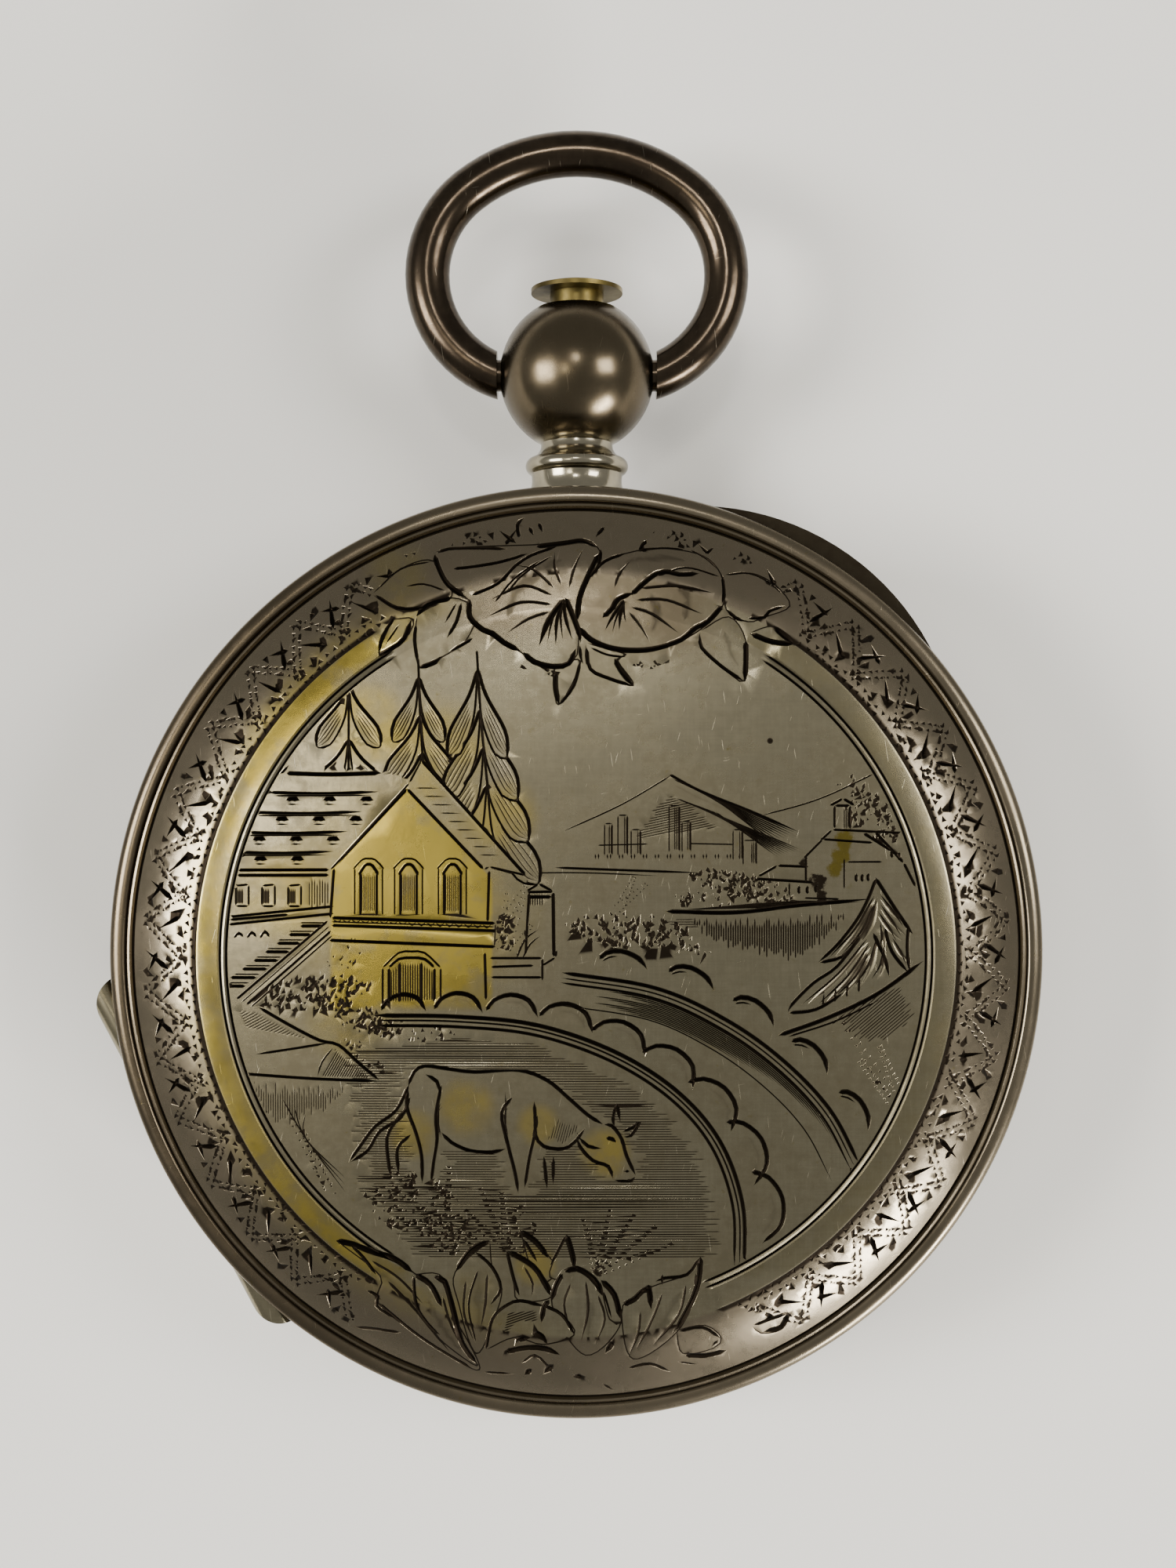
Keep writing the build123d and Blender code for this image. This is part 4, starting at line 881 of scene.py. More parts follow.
def shifted_path(points, distance):
    """The path moved to its left by a distance."""
    moved = []
    for number, (x, y) in enumerate(points):
        before = points[max(0, number - 1)]
        after = points[min(len(points) - 1, number + 1)]
        dx, dy = polar(distance, degrees(atan2(after[1] - before[1], after[0] - before[0])) + 90)
        moved.append((x + dx, y + dy))
    return moved


def engrave_road(plate):
    """A road that curves down to the right between rounded stones."""
    plate.stroke(outer_road, 0.15, 0.5, 0.8)
    for shift, width, dark in ((-0.22, 0.06, 0.8), (-0.42, 0.09, 1.0), (-1.35, 0.05, 0.6)):
        plate.stroke(shifted_path(outer_road, shift), width, 0.5, 1.2, dark=dark)
    for row in range(12):
        start = 0.12 + 0.03 * (row % 4)
        path = curved(shifted_path(outer_road, -0.5 - 0.07 * row), 0.5)
        plate.stroke(path[int(start * len(path)):int((0.95 - 0.04 * row) * len(path))][::2], 0.05, 0.6, 1.5,
                     dark=0.45 - 0.02 * row)
    plate.stroke(inner_road, 0.16, 0.4, 0.6)
    for shift, width in ((-0.2, 0.07), (-0.42, 0.12)):
        plate.stroke(shifted_path(inner_road, shift), width, 0.4, 0.8)
    for stone in range(5):
        place, _ = along_arc(outer_road, 0.13 + 0.185 * stone)
        heading = -6 - 10 * stone
        figure = [(-1.0, 0.2), (-0.75, 0.52), (-0.1, 0.66), (0.7, 0.42), (1.15, -0.05)]
        plate.stroke(placed(figure, (place[0] + 0.45, place[1] + 0.55), 0.95, heading), 0.19, 0.15, 0.5)
        plate.stroke(placed([(-0.95, 0.2), (-0.6, 0.42), (-0.2, 0.5)], (place[0] + 0.45, place[1] + 0.5),
                            0.9, heading),
                     0.07, 0.1, 0.3, dark=0.7)
    for stone in range(9):
        place, heading = along_arc(inner_road, 0.04 + 0.104 * stone)
        big = 0.9 + 0.07 * stone
        figure = [(-1.05, 0.1), (-0.8, 0.55), (-0.15, 0.85), (0.6, 0.7), (1.05, 0.05)]
        centre = placed([(0.25, 0.12 + 0.04 * stone)], place, 1.0, heading)[0]
        plate.stroke(placed(figure, centre, big, heading), 0.17, 0.15, 0.4)
        plate.shade(placed([(-0.5, 0.5), (0.3, 0.55), (0.85, 0.0)], centre, big, heading), 0.45 * big, 0.16)


cow_outline = [(-7.0, -5.2), (-6.4, -4.55), (-4.3, -4.8), (-2.4, -4.72), (-1.1, -5.25), (0.0, -6.2),
               (1.1, -7.0),
               (1.75, -7.5), (2.45, -9.2), (1.6, -9.3), (1.2, -8.6), (0.1, -7.8), (-0.9, -8.05),
               (-1.7, -7.7),
               (-2.0, -9.2), (-2.3, -10.0), (-2.7, -9.0), (-2.9, -8.05), (-4.4, -8.1), (-5.65, -7.35),
               (-5.8, -8.4),
               (-6.1, -9.6), (-6.5, -9.5), (-6.5, -8.0), (-7.1, -6.3)]


def engrave_cow(plate):
    """A grazing cow, with its head down to the right."""
    lines = [
        [(-7.0, -5.4), (-6.75, -4.8), (-6.3, -4.55), (-5.3, -4.68), (-4.2, -4.8), (-2.4, -4.72),
         (-1.2, -5.15),
         (-0.3, -5.9), (0.5, -6.6), (1.15, -7.0)],
        [(-5.65, -7.3), (-5.2, -7.75), (-4.4, -8.1), (-3.5, -8.15), (-2.9, -8.0)],
        [(-7.0, -5.5), (-7.05, -6.3), (-6.7, -7.3), (-6.45, -8.3), (-6.42, -9.5)],
        [(-5.6, -5.3), (-5.85, -6.6), (-5.8, -7.6), (-5.95, -8.6), (-6.05, -9.5)],
        [(-6.3, -4.9), (-5.8, -5.2), (-5.65, -5.8)],
        [(-7.2, -6.4), (-7.8, -7.3), (-7.9, -7.9), (-7.75, -9.2)],
        [(-6.85, -7.4), (-7.45, -8.0), (-7.4, -9.1)],
        [(-2.6, -5.8), (-3.1, -6.5), (-2.85, -7.8), (-2.55, -9.0), (-2.4, -9.9)],
        [(-1.75, -6.0), (-1.7, -7.2), (-1.95, -8.4), (-2.15, -9.7)],
        [(-1.35, -8.3), (-1.2, -9.7)], [(-0.95, -8.3), (-0.95, -9.5)],
        [(-1.6, -6.6), (-1.7, -7.4), (-1.35, -7.9), (-0.5, -8.0), (0.05, -7.6), (0.4, -7.1)],
        [(1.15, -7.0), (1.5, -7.05), (1.9, -7.6), (2.1, -8.3), (2.5, -9.15)],
        [(2.5, -9.15), (2.2, -9.4), (1.55, -9.3)], [(1.55, -9.3), (1.35, -8.75), (0.7, -8.5), (0.15, -7.9),
                                                    (0.05, -7.5)],
        [(0.1, -7.5), (0.5, -7.9), (1.1, -8.0)], [(1.6, -7.1), (1.55, -6.7), (1.7, -6.2), (1.85, -6.9)],
        [(1.9, -7.3), (2.3, -7.15), (2.65, -6.9), (2.3, -7.45), (1.95, -7.5)],
        [(-6.95, -5.3), (-7.5, -6.4), (-8.4, -7.1), (-9.0, -7.9), (-9.5, -8.6)],
        [(-6.9, -5.8), (-7.3, -6.7), (-8.2, -7.3), (-8.7, -8.1), (-9.45, -8.6)]]
    for line in lines:
        plate.stroke(line, 0.14, 0.3, 0.4)
    plate.stroke([(1.25, -7.55), (1.5, -7.6), (1.7, -7.75)], 0.16, 0.1, 0.2)
    plate.stroke([(2.05, -8.95), (2.25, -8.95)], 0.1, 0.05, 0.1)
    for side, start in ((0.0, -5.75), (2.9, -2.95)):
        for row in range(4):
            plate.stroke([(start + 0.07 * row, -5.6 - 0.2 * row), (start + 0.02 - 0.02 * row, -6.6),
                          (start + 0.05 * row, -7.6)], 0.05, 0.4, 0.6, dark=0.5)
    plate.hatch([(-0.7, -6.6), (0.1, -6.9), (0.1, -7.4), (-0.6, -7.9), (-1.3, -7.7)], 75, 0.1, 0.04,
                dark=0.35, ragged=0.2)
    ground = [(-9.8, -4.0), (-4.9, -3.35), (-1.6, -3.6), (1.4, -4.7), (3.8, -6.2), (5.4, -8.1), (6.2, -10.4),
              (6.25, -12.6), (-6.8, -12.6), (-9.2, -9.8)]
    plate.hatch(ground, 0, 0.105, 0.045, [cow_outline], dark=0.36, ragged=0.8)


def engrave_ground(plate):
    """Bushes, grass and rocks left and below the chalet, and the bushes by the lake."""
    plate.stipple((-10.9, -1.55), (2.4, 0.75), 170, 70, 0.14, 30, 5)
    plate.stipple((-9.2, -2.55), (2.0, 0.55), 80, 75, 0.14, 30, -22)
    plate.stipple((-7.0, -3.1), (2.3, 0.4), 45, 80, 0.13, 30, -10)
    plate.stipple((-8.9, -4.2), (1.1, 0.45), 22, 80, 0.12, 30, -40)
    plate.stipple((-9.6, 0.0), (0.9, 0.6), 16, 70, 0.1, 30, 40)
    plate.stipple((2.2, 1.05), (2.7, 0.7), 190, 85, 0.13, 35, -4)
    plate.stipple((4.5, 0.3), (1.3, 0.25), 24, 85, 0.11, 35, -12)
    for start, end in (((1.7, 2.0), (2.9, 3.0)), ((1.9, 2.2), (2.4, 3.3)), ((-2.9, 0.3), (-2.2, 2.4)),
                       ((-3.1, 0.3), (-2.9, 2.6)),
                       ((-2.6, 0.2), (-1.9, 1.3)), ((-3.0, 1.5), (-2.0, 3.1))):
        sprig(plate, start, end, 9, 0.1)
    plate.stipple((-3.0, 1.0), (0.45, 0.8), 40, 70, 0.12, 40)
    rock = [(-13.3, -2.1), (-11.9, -2.9), (-10.7, -3.5), (-9.9, -3.7), (-9.0, -4.5), (-8.2, -5.15)]
    plate.stroke(rock, 0.12, 0.3, 0.3)
    plate.stroke([(-14.1, -4.9), (-11.0, -5.1), (-8.25, -5.2)], 0.11, 0.3, 0.2)
    plate.stroke([(-13.4, -4.1), (-11.8, -3.85), (-10.3, -3.6)], 0.09, 0.6, 0.5)
    plate.stroke([(-10.1, -3.75), (-10.6, -4.4), (-10.8, -5.05)], 0.07, 0.3, 0.4)
    plate.hatch([(-10.0, -3.8), (-9.0, -4.6), (-8.5, -5.1), (-10.6, -5.05)], 60, 0.09, 0.05, dark=0.6)
    plate.hatch([(-13.9, -5.1), (-8.6, -5.3), (-10.6, -6.6), (-12.3, -7.3), (-13.1, -6.7)], 90, 0.1, 0.042,
                dark=0.45, ragged=0.5)
    plate.hatch([(-14.2, -2.2), (-13.3, -2.3), (-11.0, -3.5), (-13.8, -3.0)], 28, 0.11, 0.045, dark=0.4)
    for row in range(3):
        plate.stroke([(-12.3 + 0.5 * row, -5.9 - 0.3 * row), (-11.3, -7.6), (-9.6, -9.9 + 0.3 * row)], 0.05,
                     0.5, 1.2, dark=0.5)
    for start, end in (((-10.2, -10.0), (-11.9, -6.8)), ((-10.4, -9.6), (-11.4, -7.3)),
                       ((-5.6, -11.8), (-7.7, -8.8)),
                       ((-5.4, -11.6), (-5.3, -8.8)), ((-2.9, -12.2), (-4.6, -10.6)),
                       ((-2.9, -12.2), (-4.0, -9.7)),
                       ((-2.9, -12.2), (-3.1, -9.9)), ((0.9, -13.2), (0.3, -11.0)),
                       ((0.9, -13.2), (1.4, -10.6)),
                       ((0.9, -13.2), (2.4, -10.8)), ((0.9, -13.2), (3.3, -11.3)),
                       ((0.9, -13.2), (4.0, -12.0))):
        sprig(plate, start, end, 12, 0.13)
    plate.stipple((-6.6, -10.4), (2.3, 1.3), 150, 70, 0.14, 35, -15)
    plate.stipple((-5.0, -11.9), (1.3, 0.7), 60, 70, 0.14, 35)
    plate.stipple((-2.3, -11.4), (0.6, 1.0), 45, 70, 0.13, 35)


# ---- leaves that cross from the field over the ring and the border ----

def engrave_spray(plate):
    """A spray of flame-like leaves across the bottom of the field and the border."""
    thick, medium, thin = 0.22, 0.13, 0.08
    plate.leaf([(-9.2, -14.0), (-9.4, -15.7), (-9.1, -16.5), (-4.5, -18.7), (0, -19.2), (4.4, -18.6),
                (9.0, -16.0),
                (6.4, -14.4), (4, -13.6), (-4, -13.0)])
    plate.leaf([(-10.0, -11.9), (-8.7, -12.3), (-6.7, -13.3), (-5.2, -15.0), (-4.1, -17.6), (-6.4, -16.2),
                (-8.3, -14.6),
                (-8.2, -13.4)],
               (thick, (-10.05, -11.9), (-9.3, -12.05), (-8.7, -12.3), (-7.6, -12.65), (-6.8, -13.25)),
               (medium, (-9.4, -12.1), (-8.9, -12.6), (-8.35, -13.35)),
               (medium, (-8.8, -14.05), (-8.3, -14.3), (-8.4, -14.75), (-7.6, -15.3)),
               (medium, (-8.3, -14.6), (-6.5, -16.15), (-4.4, -17.55)),
               (-0.6, (-8.6, -12.9), (-7.2, -14.1), (-5.8, -15.9)))
    plate.leaf([(-6.85, -13.3), (-5.5, -13.5), (-4.7, -16.3), (-4.2, -17.4), (-5.8, -16.1), (-6.7, -14.7)],
               (medium, (-6.8, -13.35), (-6.7, -14.6), (-6.2, -15.5), (-5.7, -16.0)),
               (thick, (-6.75, -13.3), (-6.1, -13.75), (-5.6, -14.75)),
               (thick, (-5.9, -13.5), (-5.5, -13.6), (-5.15, -14.9), (-4.8, -16.3), (-4.2, -17.3)),
               (-0.5, (-6.3, -14.2), (-5.6, -15.6), (-4.8, -16.8)))
    plate.leaf([(-3.6, -11.85), (-5.05, -13.2), (-4.9, -14.6), (-4.2, -16.8), (-3.4, -15.1), (-3.1, -13.9),
                (-3.5, -13.0)],
               (thick, (-3.6, -11.85), (-4.4, -12.3), (-5.05, -13.2)),
               (medium, (-4.2, -12.35), (-3.5, -13.0), (-3.15, -13.9), (-3.6, -14.6)),
               (thin, (-4.1, -13.1), (-4.5, -14.6), (-4.2, -16.3)),
               (-0.7, (-4.0, -12.9), (-4.1, -14.4), (-4.0, -15.9)))
    plate.leaf([(-2.3, -11.5), (-1.7, -11.9), (-0.9, -12.9), (-1.2, -13.6), (-1.9, -12.9)],
               (thick, (-2.35, -11.45), (-1.7, -11.9), (-1.15, -12.6)),
               (medium, (-2.2, -11.8), (-1.6, -12.8)))
    plate.leaf([(-0.4, -11.6), (-0.85, -12.5), (-1.1, -13.4), (-0.3, -13.4), (-0.1, -12.6)],
               (medium, (-0.42, -11.65), (-0.8, -12.4), (-1.1, -12.95)),
               (thick, (-0.4, -11.6), (-0.15, -12.5), (-0.05, -13.1)))
    plate.leaf([(-2.9, -12.25), (-1.7, -13.0), (-1.0, -14.2), (-2.4, -14.4), (-2.6, -13.6)],
               (medium, (-2.9, -12.25), (-2.6, -13.5), (-2.35, -14.25)),
               (thick, (-2.85, -12.3), (-1.8, -12.95), (-1.3, -13.7), (-1.05, -14.2)),
               (-0.5, (-2.2, -13.1), (-1.6, -14.1)))
    plate.leaf([(-0.6, -13.1), (0.1, -13.05), (1.0, -14.0), (1.9, -15.3), (0.4, -16.8), (-1.0, -14.6)],
               (thick, (-0.5, -13.2), (0.05, -13.05), (0.75, -13.5), (1.1, -14.2)),
               (thick, (-0.55, -13.25), (-0.85, -13.8), (-1.0, -14.4)),
               (-0.6, (0.3, -13.9), (0.6, -14.8), (0.5, -16.0)), (-0.5, (-0.5, -14.3), (-0.2, -15.2)))
    plate.leaf([(5.2, -12.55), (4.6, -13.3), (3.2, -13.8), (2.2, -14.4), (1.9, -15.0), (2.4, -17.0),
                (4.2, -15.8), (5.1, -13.9)],
               (medium, (5.15, -12.6), (4.65, -13.3), (3.7, -13.45), (3.3, -13.6)),
               (thick, (5.2, -12.55), (5.15, -13.4), (4.9, -14.3), (4.2, -15.7)),
               (thick, (1.95, -14.6), (2.5, -14.3), (3.0, -13.85), (3.15, -14.8)),
               (medium, (3.6, -13.25), (3.6, -13.75)), (-0.7, (4.4, -14.0), (3.6, -15.4), (2.8, -16.4)),
               (-0.5, (3.3, -14.6), (2.6, -15.6)))
    plate.leaf([(1.0, -13.5), (1.6, -14.2), (1.9, -15.3), (1.4, -15.2)],
               (thick, (1.0, -13.5), (1.6, -14.15), (1.85, -15.2)), (thin, (1.15, -14.0), (1.5, -15.2)))
    plate.leaf([(-3.8, -16.6), (-3.5, -15.2), (-2.5, -14.4), (-1.4, -14.6), (-0.4, -15.2), (-0.1, -15.9),
                (-1.4, -16.3), (-2.6, -16.0)],
               (medium, (-3.8, -16.6), (-3.5, -15.2), (-2.9, -14.6), (-2.3, -14.4), (-1.4, -14.65)),
               (thick, (-1.1, -14.35), (-1.35, -14.7), (-1.45, -15.4)),
               (medium, (-1.35, -14.6), (-0.6, -15.0), (-0.05, -15.9)))
    plate.hatch([(-2.9, -14.9), (-1.6, -14.8), (-1.5, -15.3), (-2.4, -15.3), (-3.1, -16.0)], 20, 0.1, 0.06)
    plate.lines([(-2.95, -16.65), (-1.95, -16.45), (-1.3, -16.5), (-0.65, -16.8)],
                [(-2.5, -16.1), (-1.9, -16.0)],
                [(-1.75, -15.75), (-1.4, -16.0), (-1.2, -16.3)], [(0.25, -17.9), (-0.1, -17.75)],
                [(1.55, -16.2), (1.2, -16.75)],
                [(-1.0, -17.3), (-1.4, -17.75)], [(-1.9, -17.5), (-2.2, -17.8)], width=0.24, head=0.12)
    plate.lines([(-2.3, -17.2), (-1.75, -16.8), (-1.3, -17.2), (-0.95, -17.75)],
                [(-3.9, -17.7), (-2.6, -17.75)],
                [(1.1, -18.2), (1.6, -18.6)], width=0.11)
    plate.leaf([(2.2, -17.4), (3.1, -17.25), (4.0, -17.7), (4.1, -18.6), (2.2, -18.8)],
               (medium, (2.2, -17.45), (3.1, -17.25), (4.0, -17.7)),
               (medium, (4.0, -17.75), (4.1, -18.2), (4.1, -18.6)))
    plate.leaf([(4.2, -15.7), (5.4, -15.5), (6.1, -16.1), (5.8, -16.6), (4.5, -16.8)],
               (medium, (4.3, -15.75), (5.3, -15.6), (6.1, -16.15)), (medium, (6.0, -16.2), (5.7, -16.55)),
               (thick, (4.6, -16.9), (5.5, -16.95), (6.4, -16.75)), (thin, (4.3, -17.2), (5.2, -17.4)))
    plate.leaf([(7.4, -15.6), (8.9, -15.1), (8.7, -15.9), (7.8, -16.0)],
               (medium, (7.5, -15.6), (8.2, -15.35), (8.9, -15.15)),
               (thick, (8.9, -15.15), (8.7, -15.75), (7.9, -15.95)))
    plate.leaf([(-9.6, -15.85), (-7.4, -15.9), (-7.6, -16.4), (-9.3, -16.6)],
               (medium, (-7.4, -15.95), (-8.5, -15.85), (-9.4, -15.85)),
               (thick, (-9.45, -15.9), (-9.05, -16.25), (-9.35, -16.65)))
    plate.lines([(-3.0, -18.4), (-1.5, -18.75), (1.0, -18.85), (3.9, -18.55)],
                [(-7.2, -17.45), (-6.9, -17.15)],
                [(-6.4, -17.9), (-6.1, -17.5)], [(-4.8, -18.35), (-4.5, -17.9)],
                [(-4.5, -18.5), (-4.2, -18.0)],
                [(-7.9, -17.1), (-6.9, -17.0)], [(-5.6, -18.2), (-5.0, -18.3)], width=0.14)
    plate.stroke([(-2.9, -18.55), (0.2, -18.95), (3.8, -18.7)], 0.5, 1.0, 1.0, slope=0.3, dark=0.4)
    # folds from the tips towards the foot of the spray
    plate.lines([(-7.9, -13.6), (-6.7, -14.9), (-5.3, -16.8)], [(-8.6, -12.7), (-7.4, -13.5), (-6.4, -14.6)],
                [(-5.6, -14.2), (-5.2, -15.6), (-4.5, -16.9)], [(-4.6, -13.5), (-4.7, -14.9), (-4.3, -16.2)],
                [(-3.7, -13.2), (-3.8, -14.6), (-4.0, -15.6)], [(-0.2, -13.6), (-0.5, -14.6), (-0.2, -15.8)],
                [(0.4, -13.5), (0.5, -14.8), (0.2, -16.2)], [(0.9, -14.1), (1.2, -15.2), (0.8, -16.3)],
                [(4.6, -13.7), (4.3, -15.0), (3.2, -16.4)], [(3.6, -14.1), (3.2, -15.2), (2.5, -16.6)],
                [(2.7, -14.8), (2.6, -15.8), (2.2, -16.9)], [(-2.2, -12.9), (-1.8, -13.7), (-1.9, -14.3)],
                [(5.0, -13.2), (4.9, -14.4), (4.0, -15.9)], width=0.11, head=0.25, tail=0.9, dark=0.55,
                slope=0.33)


def engrave_garland(plate):
    """Two open flowers between leaves, hanging across the top."""
    thick, medium, thin = 0.2, 0.13, 0.08
    plate.leaf([(-8.6, 15.1), (-7.4, 16.6), (-6.0, 17.2), (-2.5, 17.4), (-2.5, 18.5), (0.7, 18.9),
                (2.9, 18.6), (3.3, 17.5),
                (5.4, 17.0), (7.3, 16.4), (8.4, 15.6), (9.0, 14.6), (9.1, 13.1), (7.2, 13.2), (-7.0, 13.8)])
    plate.lines([(-2.4, 17.6), (-2.5, 18.2), (-2.2, 18.55)], [(-1.9, 18.7), (-1.3, 18.8)],
                [(-0.6, 18.8), (-0.1, 18.75)],
                [(0.75, 18.8), (0.4, 18.2), (0.35, 17.6)], [(-1.6, 18.3), (-1.4, 17.8)],
                [(1.2, 18.1), (0.8, 17.6)],
                [(-2.0, 18.1), (-1.8, 17.7)], [(2.8, 18.5), (3.15, 17.9), (3.3, 17.6)],
                [(3.0, 17.5), (2.7, 17.1), (3.2, 17.0)],
                [(1.6, 18.8), (2.2, 18.7)], width=0.15, head=0.12, tail=0.3)
    # leaves to the right
    plate.leaf([(5.2, 13.6), (5.2, 12.9), (6.2, 12.0), (7.05, 11.5), (7.1, 13.2), (6.4, 14.2)],
               (medium, (5.2, 13.4), (5.25, 12.9), (6.1, 12.1), (7.0, 11.5)),
               (thick, (7.1, 13.2), (7.1, 12.3), (7.05, 11.5)),
               (-0.5, (6.2, 13.6), (6.5, 12.6), (6.9, 12.0)))
    plate.leaf([(7.2, 13.5), (9.15, 13.05), (8.3, 13.8)],
               (thick, (7.3, 13.5), (8.2, 13.15), (9.15, 13.05)),
               (thick, (8.3, 13.8), (8.7, 13.4), (9.15, 13.05)))
    plate.leaf([(6.2, 16.0), (7.4, 16.1), (8.4, 15.6), (9.0, 14.7), (7.9, 14.2), (7.2, 14.0), (6.3, 14.5)],
               (medium, (6.3, 14.5), (6.7, 14.15), (7.1, 14.0)),
               (medium, (7.2, 14.15), (7.9, 14.2), (8.1, 14.45), (8.8, 14.7)),
               (thin, (6.3, 16.0), (7.3, 16.1), (8.2, 15.7)), (thin, (8.3, 15.6), (8.7, 15.2)),
               (-0.6, (6.6, 15.2), (7.6, 15.1)))
    # leaves to the left
    plate.leaf([(-8.6, 15.2), (-7.4, 16.3), (-6.0, 16.6), (-5.2, 15.1), (-6.6, 14.5), (-7.5, 14.5)],
               (medium, (-5.3, 15.05), (-6.5, 14.6), (-7.5, 14.6), (-8.5, 15.2)),
               (thin, (-8.4, 15.4), (-7.4, 16.3), (-6.1, 16.6)),
               (thin, (-5.5, 15.3), (-6.4, 15.6), (-7.2, 15.5)), (-0.6, (-5.8, 16.0), (-7.3, 15.9)))
    plate.leaf([(-7.7, 14.1), (-8.25, 12.6), (-7.2, 13.2), (-6.8, 14.1)],
               (medium, (-7.6, 14.2), (-8.1, 13.4), (-8.25, 12.6)),
               (thick, (-8.25, 12.6), (-7.7, 12.9), (-7.2, 13.3), (-6.9, 14.1)),
               (thin, (-7.4, 13.9), (-8.0, 13.0)))
    plate.leaf([(-6.65, 14.3), (-6.75, 13.2), (-6.5, 12.05), (-5.6, 12.5), (-4.6, 13.2), (-4.2, 14.4),
                (-5.2, 15.0)],
               (medium, (-6.7, 13.9), (-6.75, 13.2), (-6.6, 12.2)),
               (thick, (-6.55, 12.05), (-5.9, 12.3), (-5.6, 12.55)),
               (medium, (-4.3, 13.3), (-4.9, 12.95), (-5.3, 12.75)),
               (thick, (-5.2, 15.0), (-6.2, 14.75), (-6.7, 14.2)),
               (medium, (-4.8, 14.8), (-5.0, 14.0), (-5.4, 13.3)), (thin, (-5.0, 14.8), (-5.5, 13.9)),
               (-0.5, (-5.5, 14.5), (-6.2, 13.0)))
    # leaves under the flowers
    plate.leaf([(-0.9, 12.2), (-0.75, 10.5), (0.2, 12.3)],
               (thick, (-0.85, 11.9), (-0.85, 11.2), (-0.7, 10.5)),
               (medium, (-0.7, 10.5), (-0.1, 11.3), (0.2, 12.4)))
    plate.leaf([(0.4, 13.1), (0.6, 12.0), (2.4, 11.3), (1.7, 12.4), (2.1, 12.6)],
               (medium, (0.45, 12.9), (0.6, 12.0), (1.4, 11.6), (2.35, 11.3)),
               (thick, (1.6, 12.45), (1.9, 11.9), (2.4, 11.3)),
               (thin, (0.6, 12.9), (1.3, 12.6), (2.1, 12.5)))
    plate.stroke([(0.15, 13.0), (0.2, 12.5), (0.3, 12.2)], medium)
    # left flower
    plate.leaf([(-6.0, 17.0), (-4.7, 17.2), (-1.3, 17.3), (0.3, 17.5), (1.0, 17.0), (0.9, 16.2), (0.2, 15.0),
                (0.1, 13.0),
                (-0.1, 12.4), (-0.9, 12.1), (-1.7, 12.3), (-2.3, 12.7), (-3.7, 13.5), (-4.4, 14.1),
                (-4.5, 14.9), (-5.4, 15.6)],
               (thick, (-6.0, 16.9), (-5.75, 16.2), (-5.35, 15.55), (-4.6, 15.0)),
               (thick, (-4.45, 14.95), (-4.45, 14.2), (-3.9, 13.65), (-3.5, 13.5), (-3.0, 13.1),
                (-2.3, 12.75)),
               (thick, (-2.2, 12.7), (-1.75, 12.3), (-0.9, 12.1), (-0.3, 12.25), (0.0, 12.9)),
               (medium, (-5.9, 16.95), (-5.4, 17.15), (-3.9, 17.15), (-2.9, 17.1)),
               (thick, (-1.7, 17.2), (-0.5, 17.35), (0.3, 17.45), (0.95, 17.15)),
               (medium, (1.05, 17.1), (0.95, 16.4), (0.5, 15.6), (0.15, 15.0)),
               (medium, (-4.4, 15.1), (-3.3, 15.6), (-2.5, 16.4), (-1.8, 16.85), (-0.8, 17.2)),
               (thin, (-3.4, 14.8), (-2.6, 15.8), (-1.5, 16.6)),
               (thin, (-2.9, 15.2), (-2.2, 16.0), (-1.0, 16.8)),
               (medium, (-5.2, 16.25), (-4.2, 16.35), (-3.1, 16.55), (-2.0, 16.9)),
               (-0.7, (-2.9, 14.0), (-2.5, 15.2), (-1.5, 16.1), (-0.5, 16.7)),
               (-0.6, (-4.2, 14.6), (-3.3, 14.0)),
               (-0.5, (-2.3, 14.2), (-1.6, 15.3)), (-0.6, (-1.9, 13.4), (-2.0, 14.6)))
    throat = (-0.5, 14.95)
    for end, width in (((-1.55, 12.95), thick), ((-1.2, 13.1), thin), ((-0.85, 13.0), medium),
                       ((-0.55, 13.2), thin),
                       ((-0.15, 13.2), medium)):
        middle = (0.5 * (throat[0] + end[0]) - 0.12, 0.5 * (throat[1] + end[1]) + 0.1)
        plate.stroke([throat, middle, end], width, 0.2, 0.8)
    plate.stroke([(-0.45, 15.0), (-0.2, 14.4), (0.1, 13.6), (0.2, 13.1)], thick)
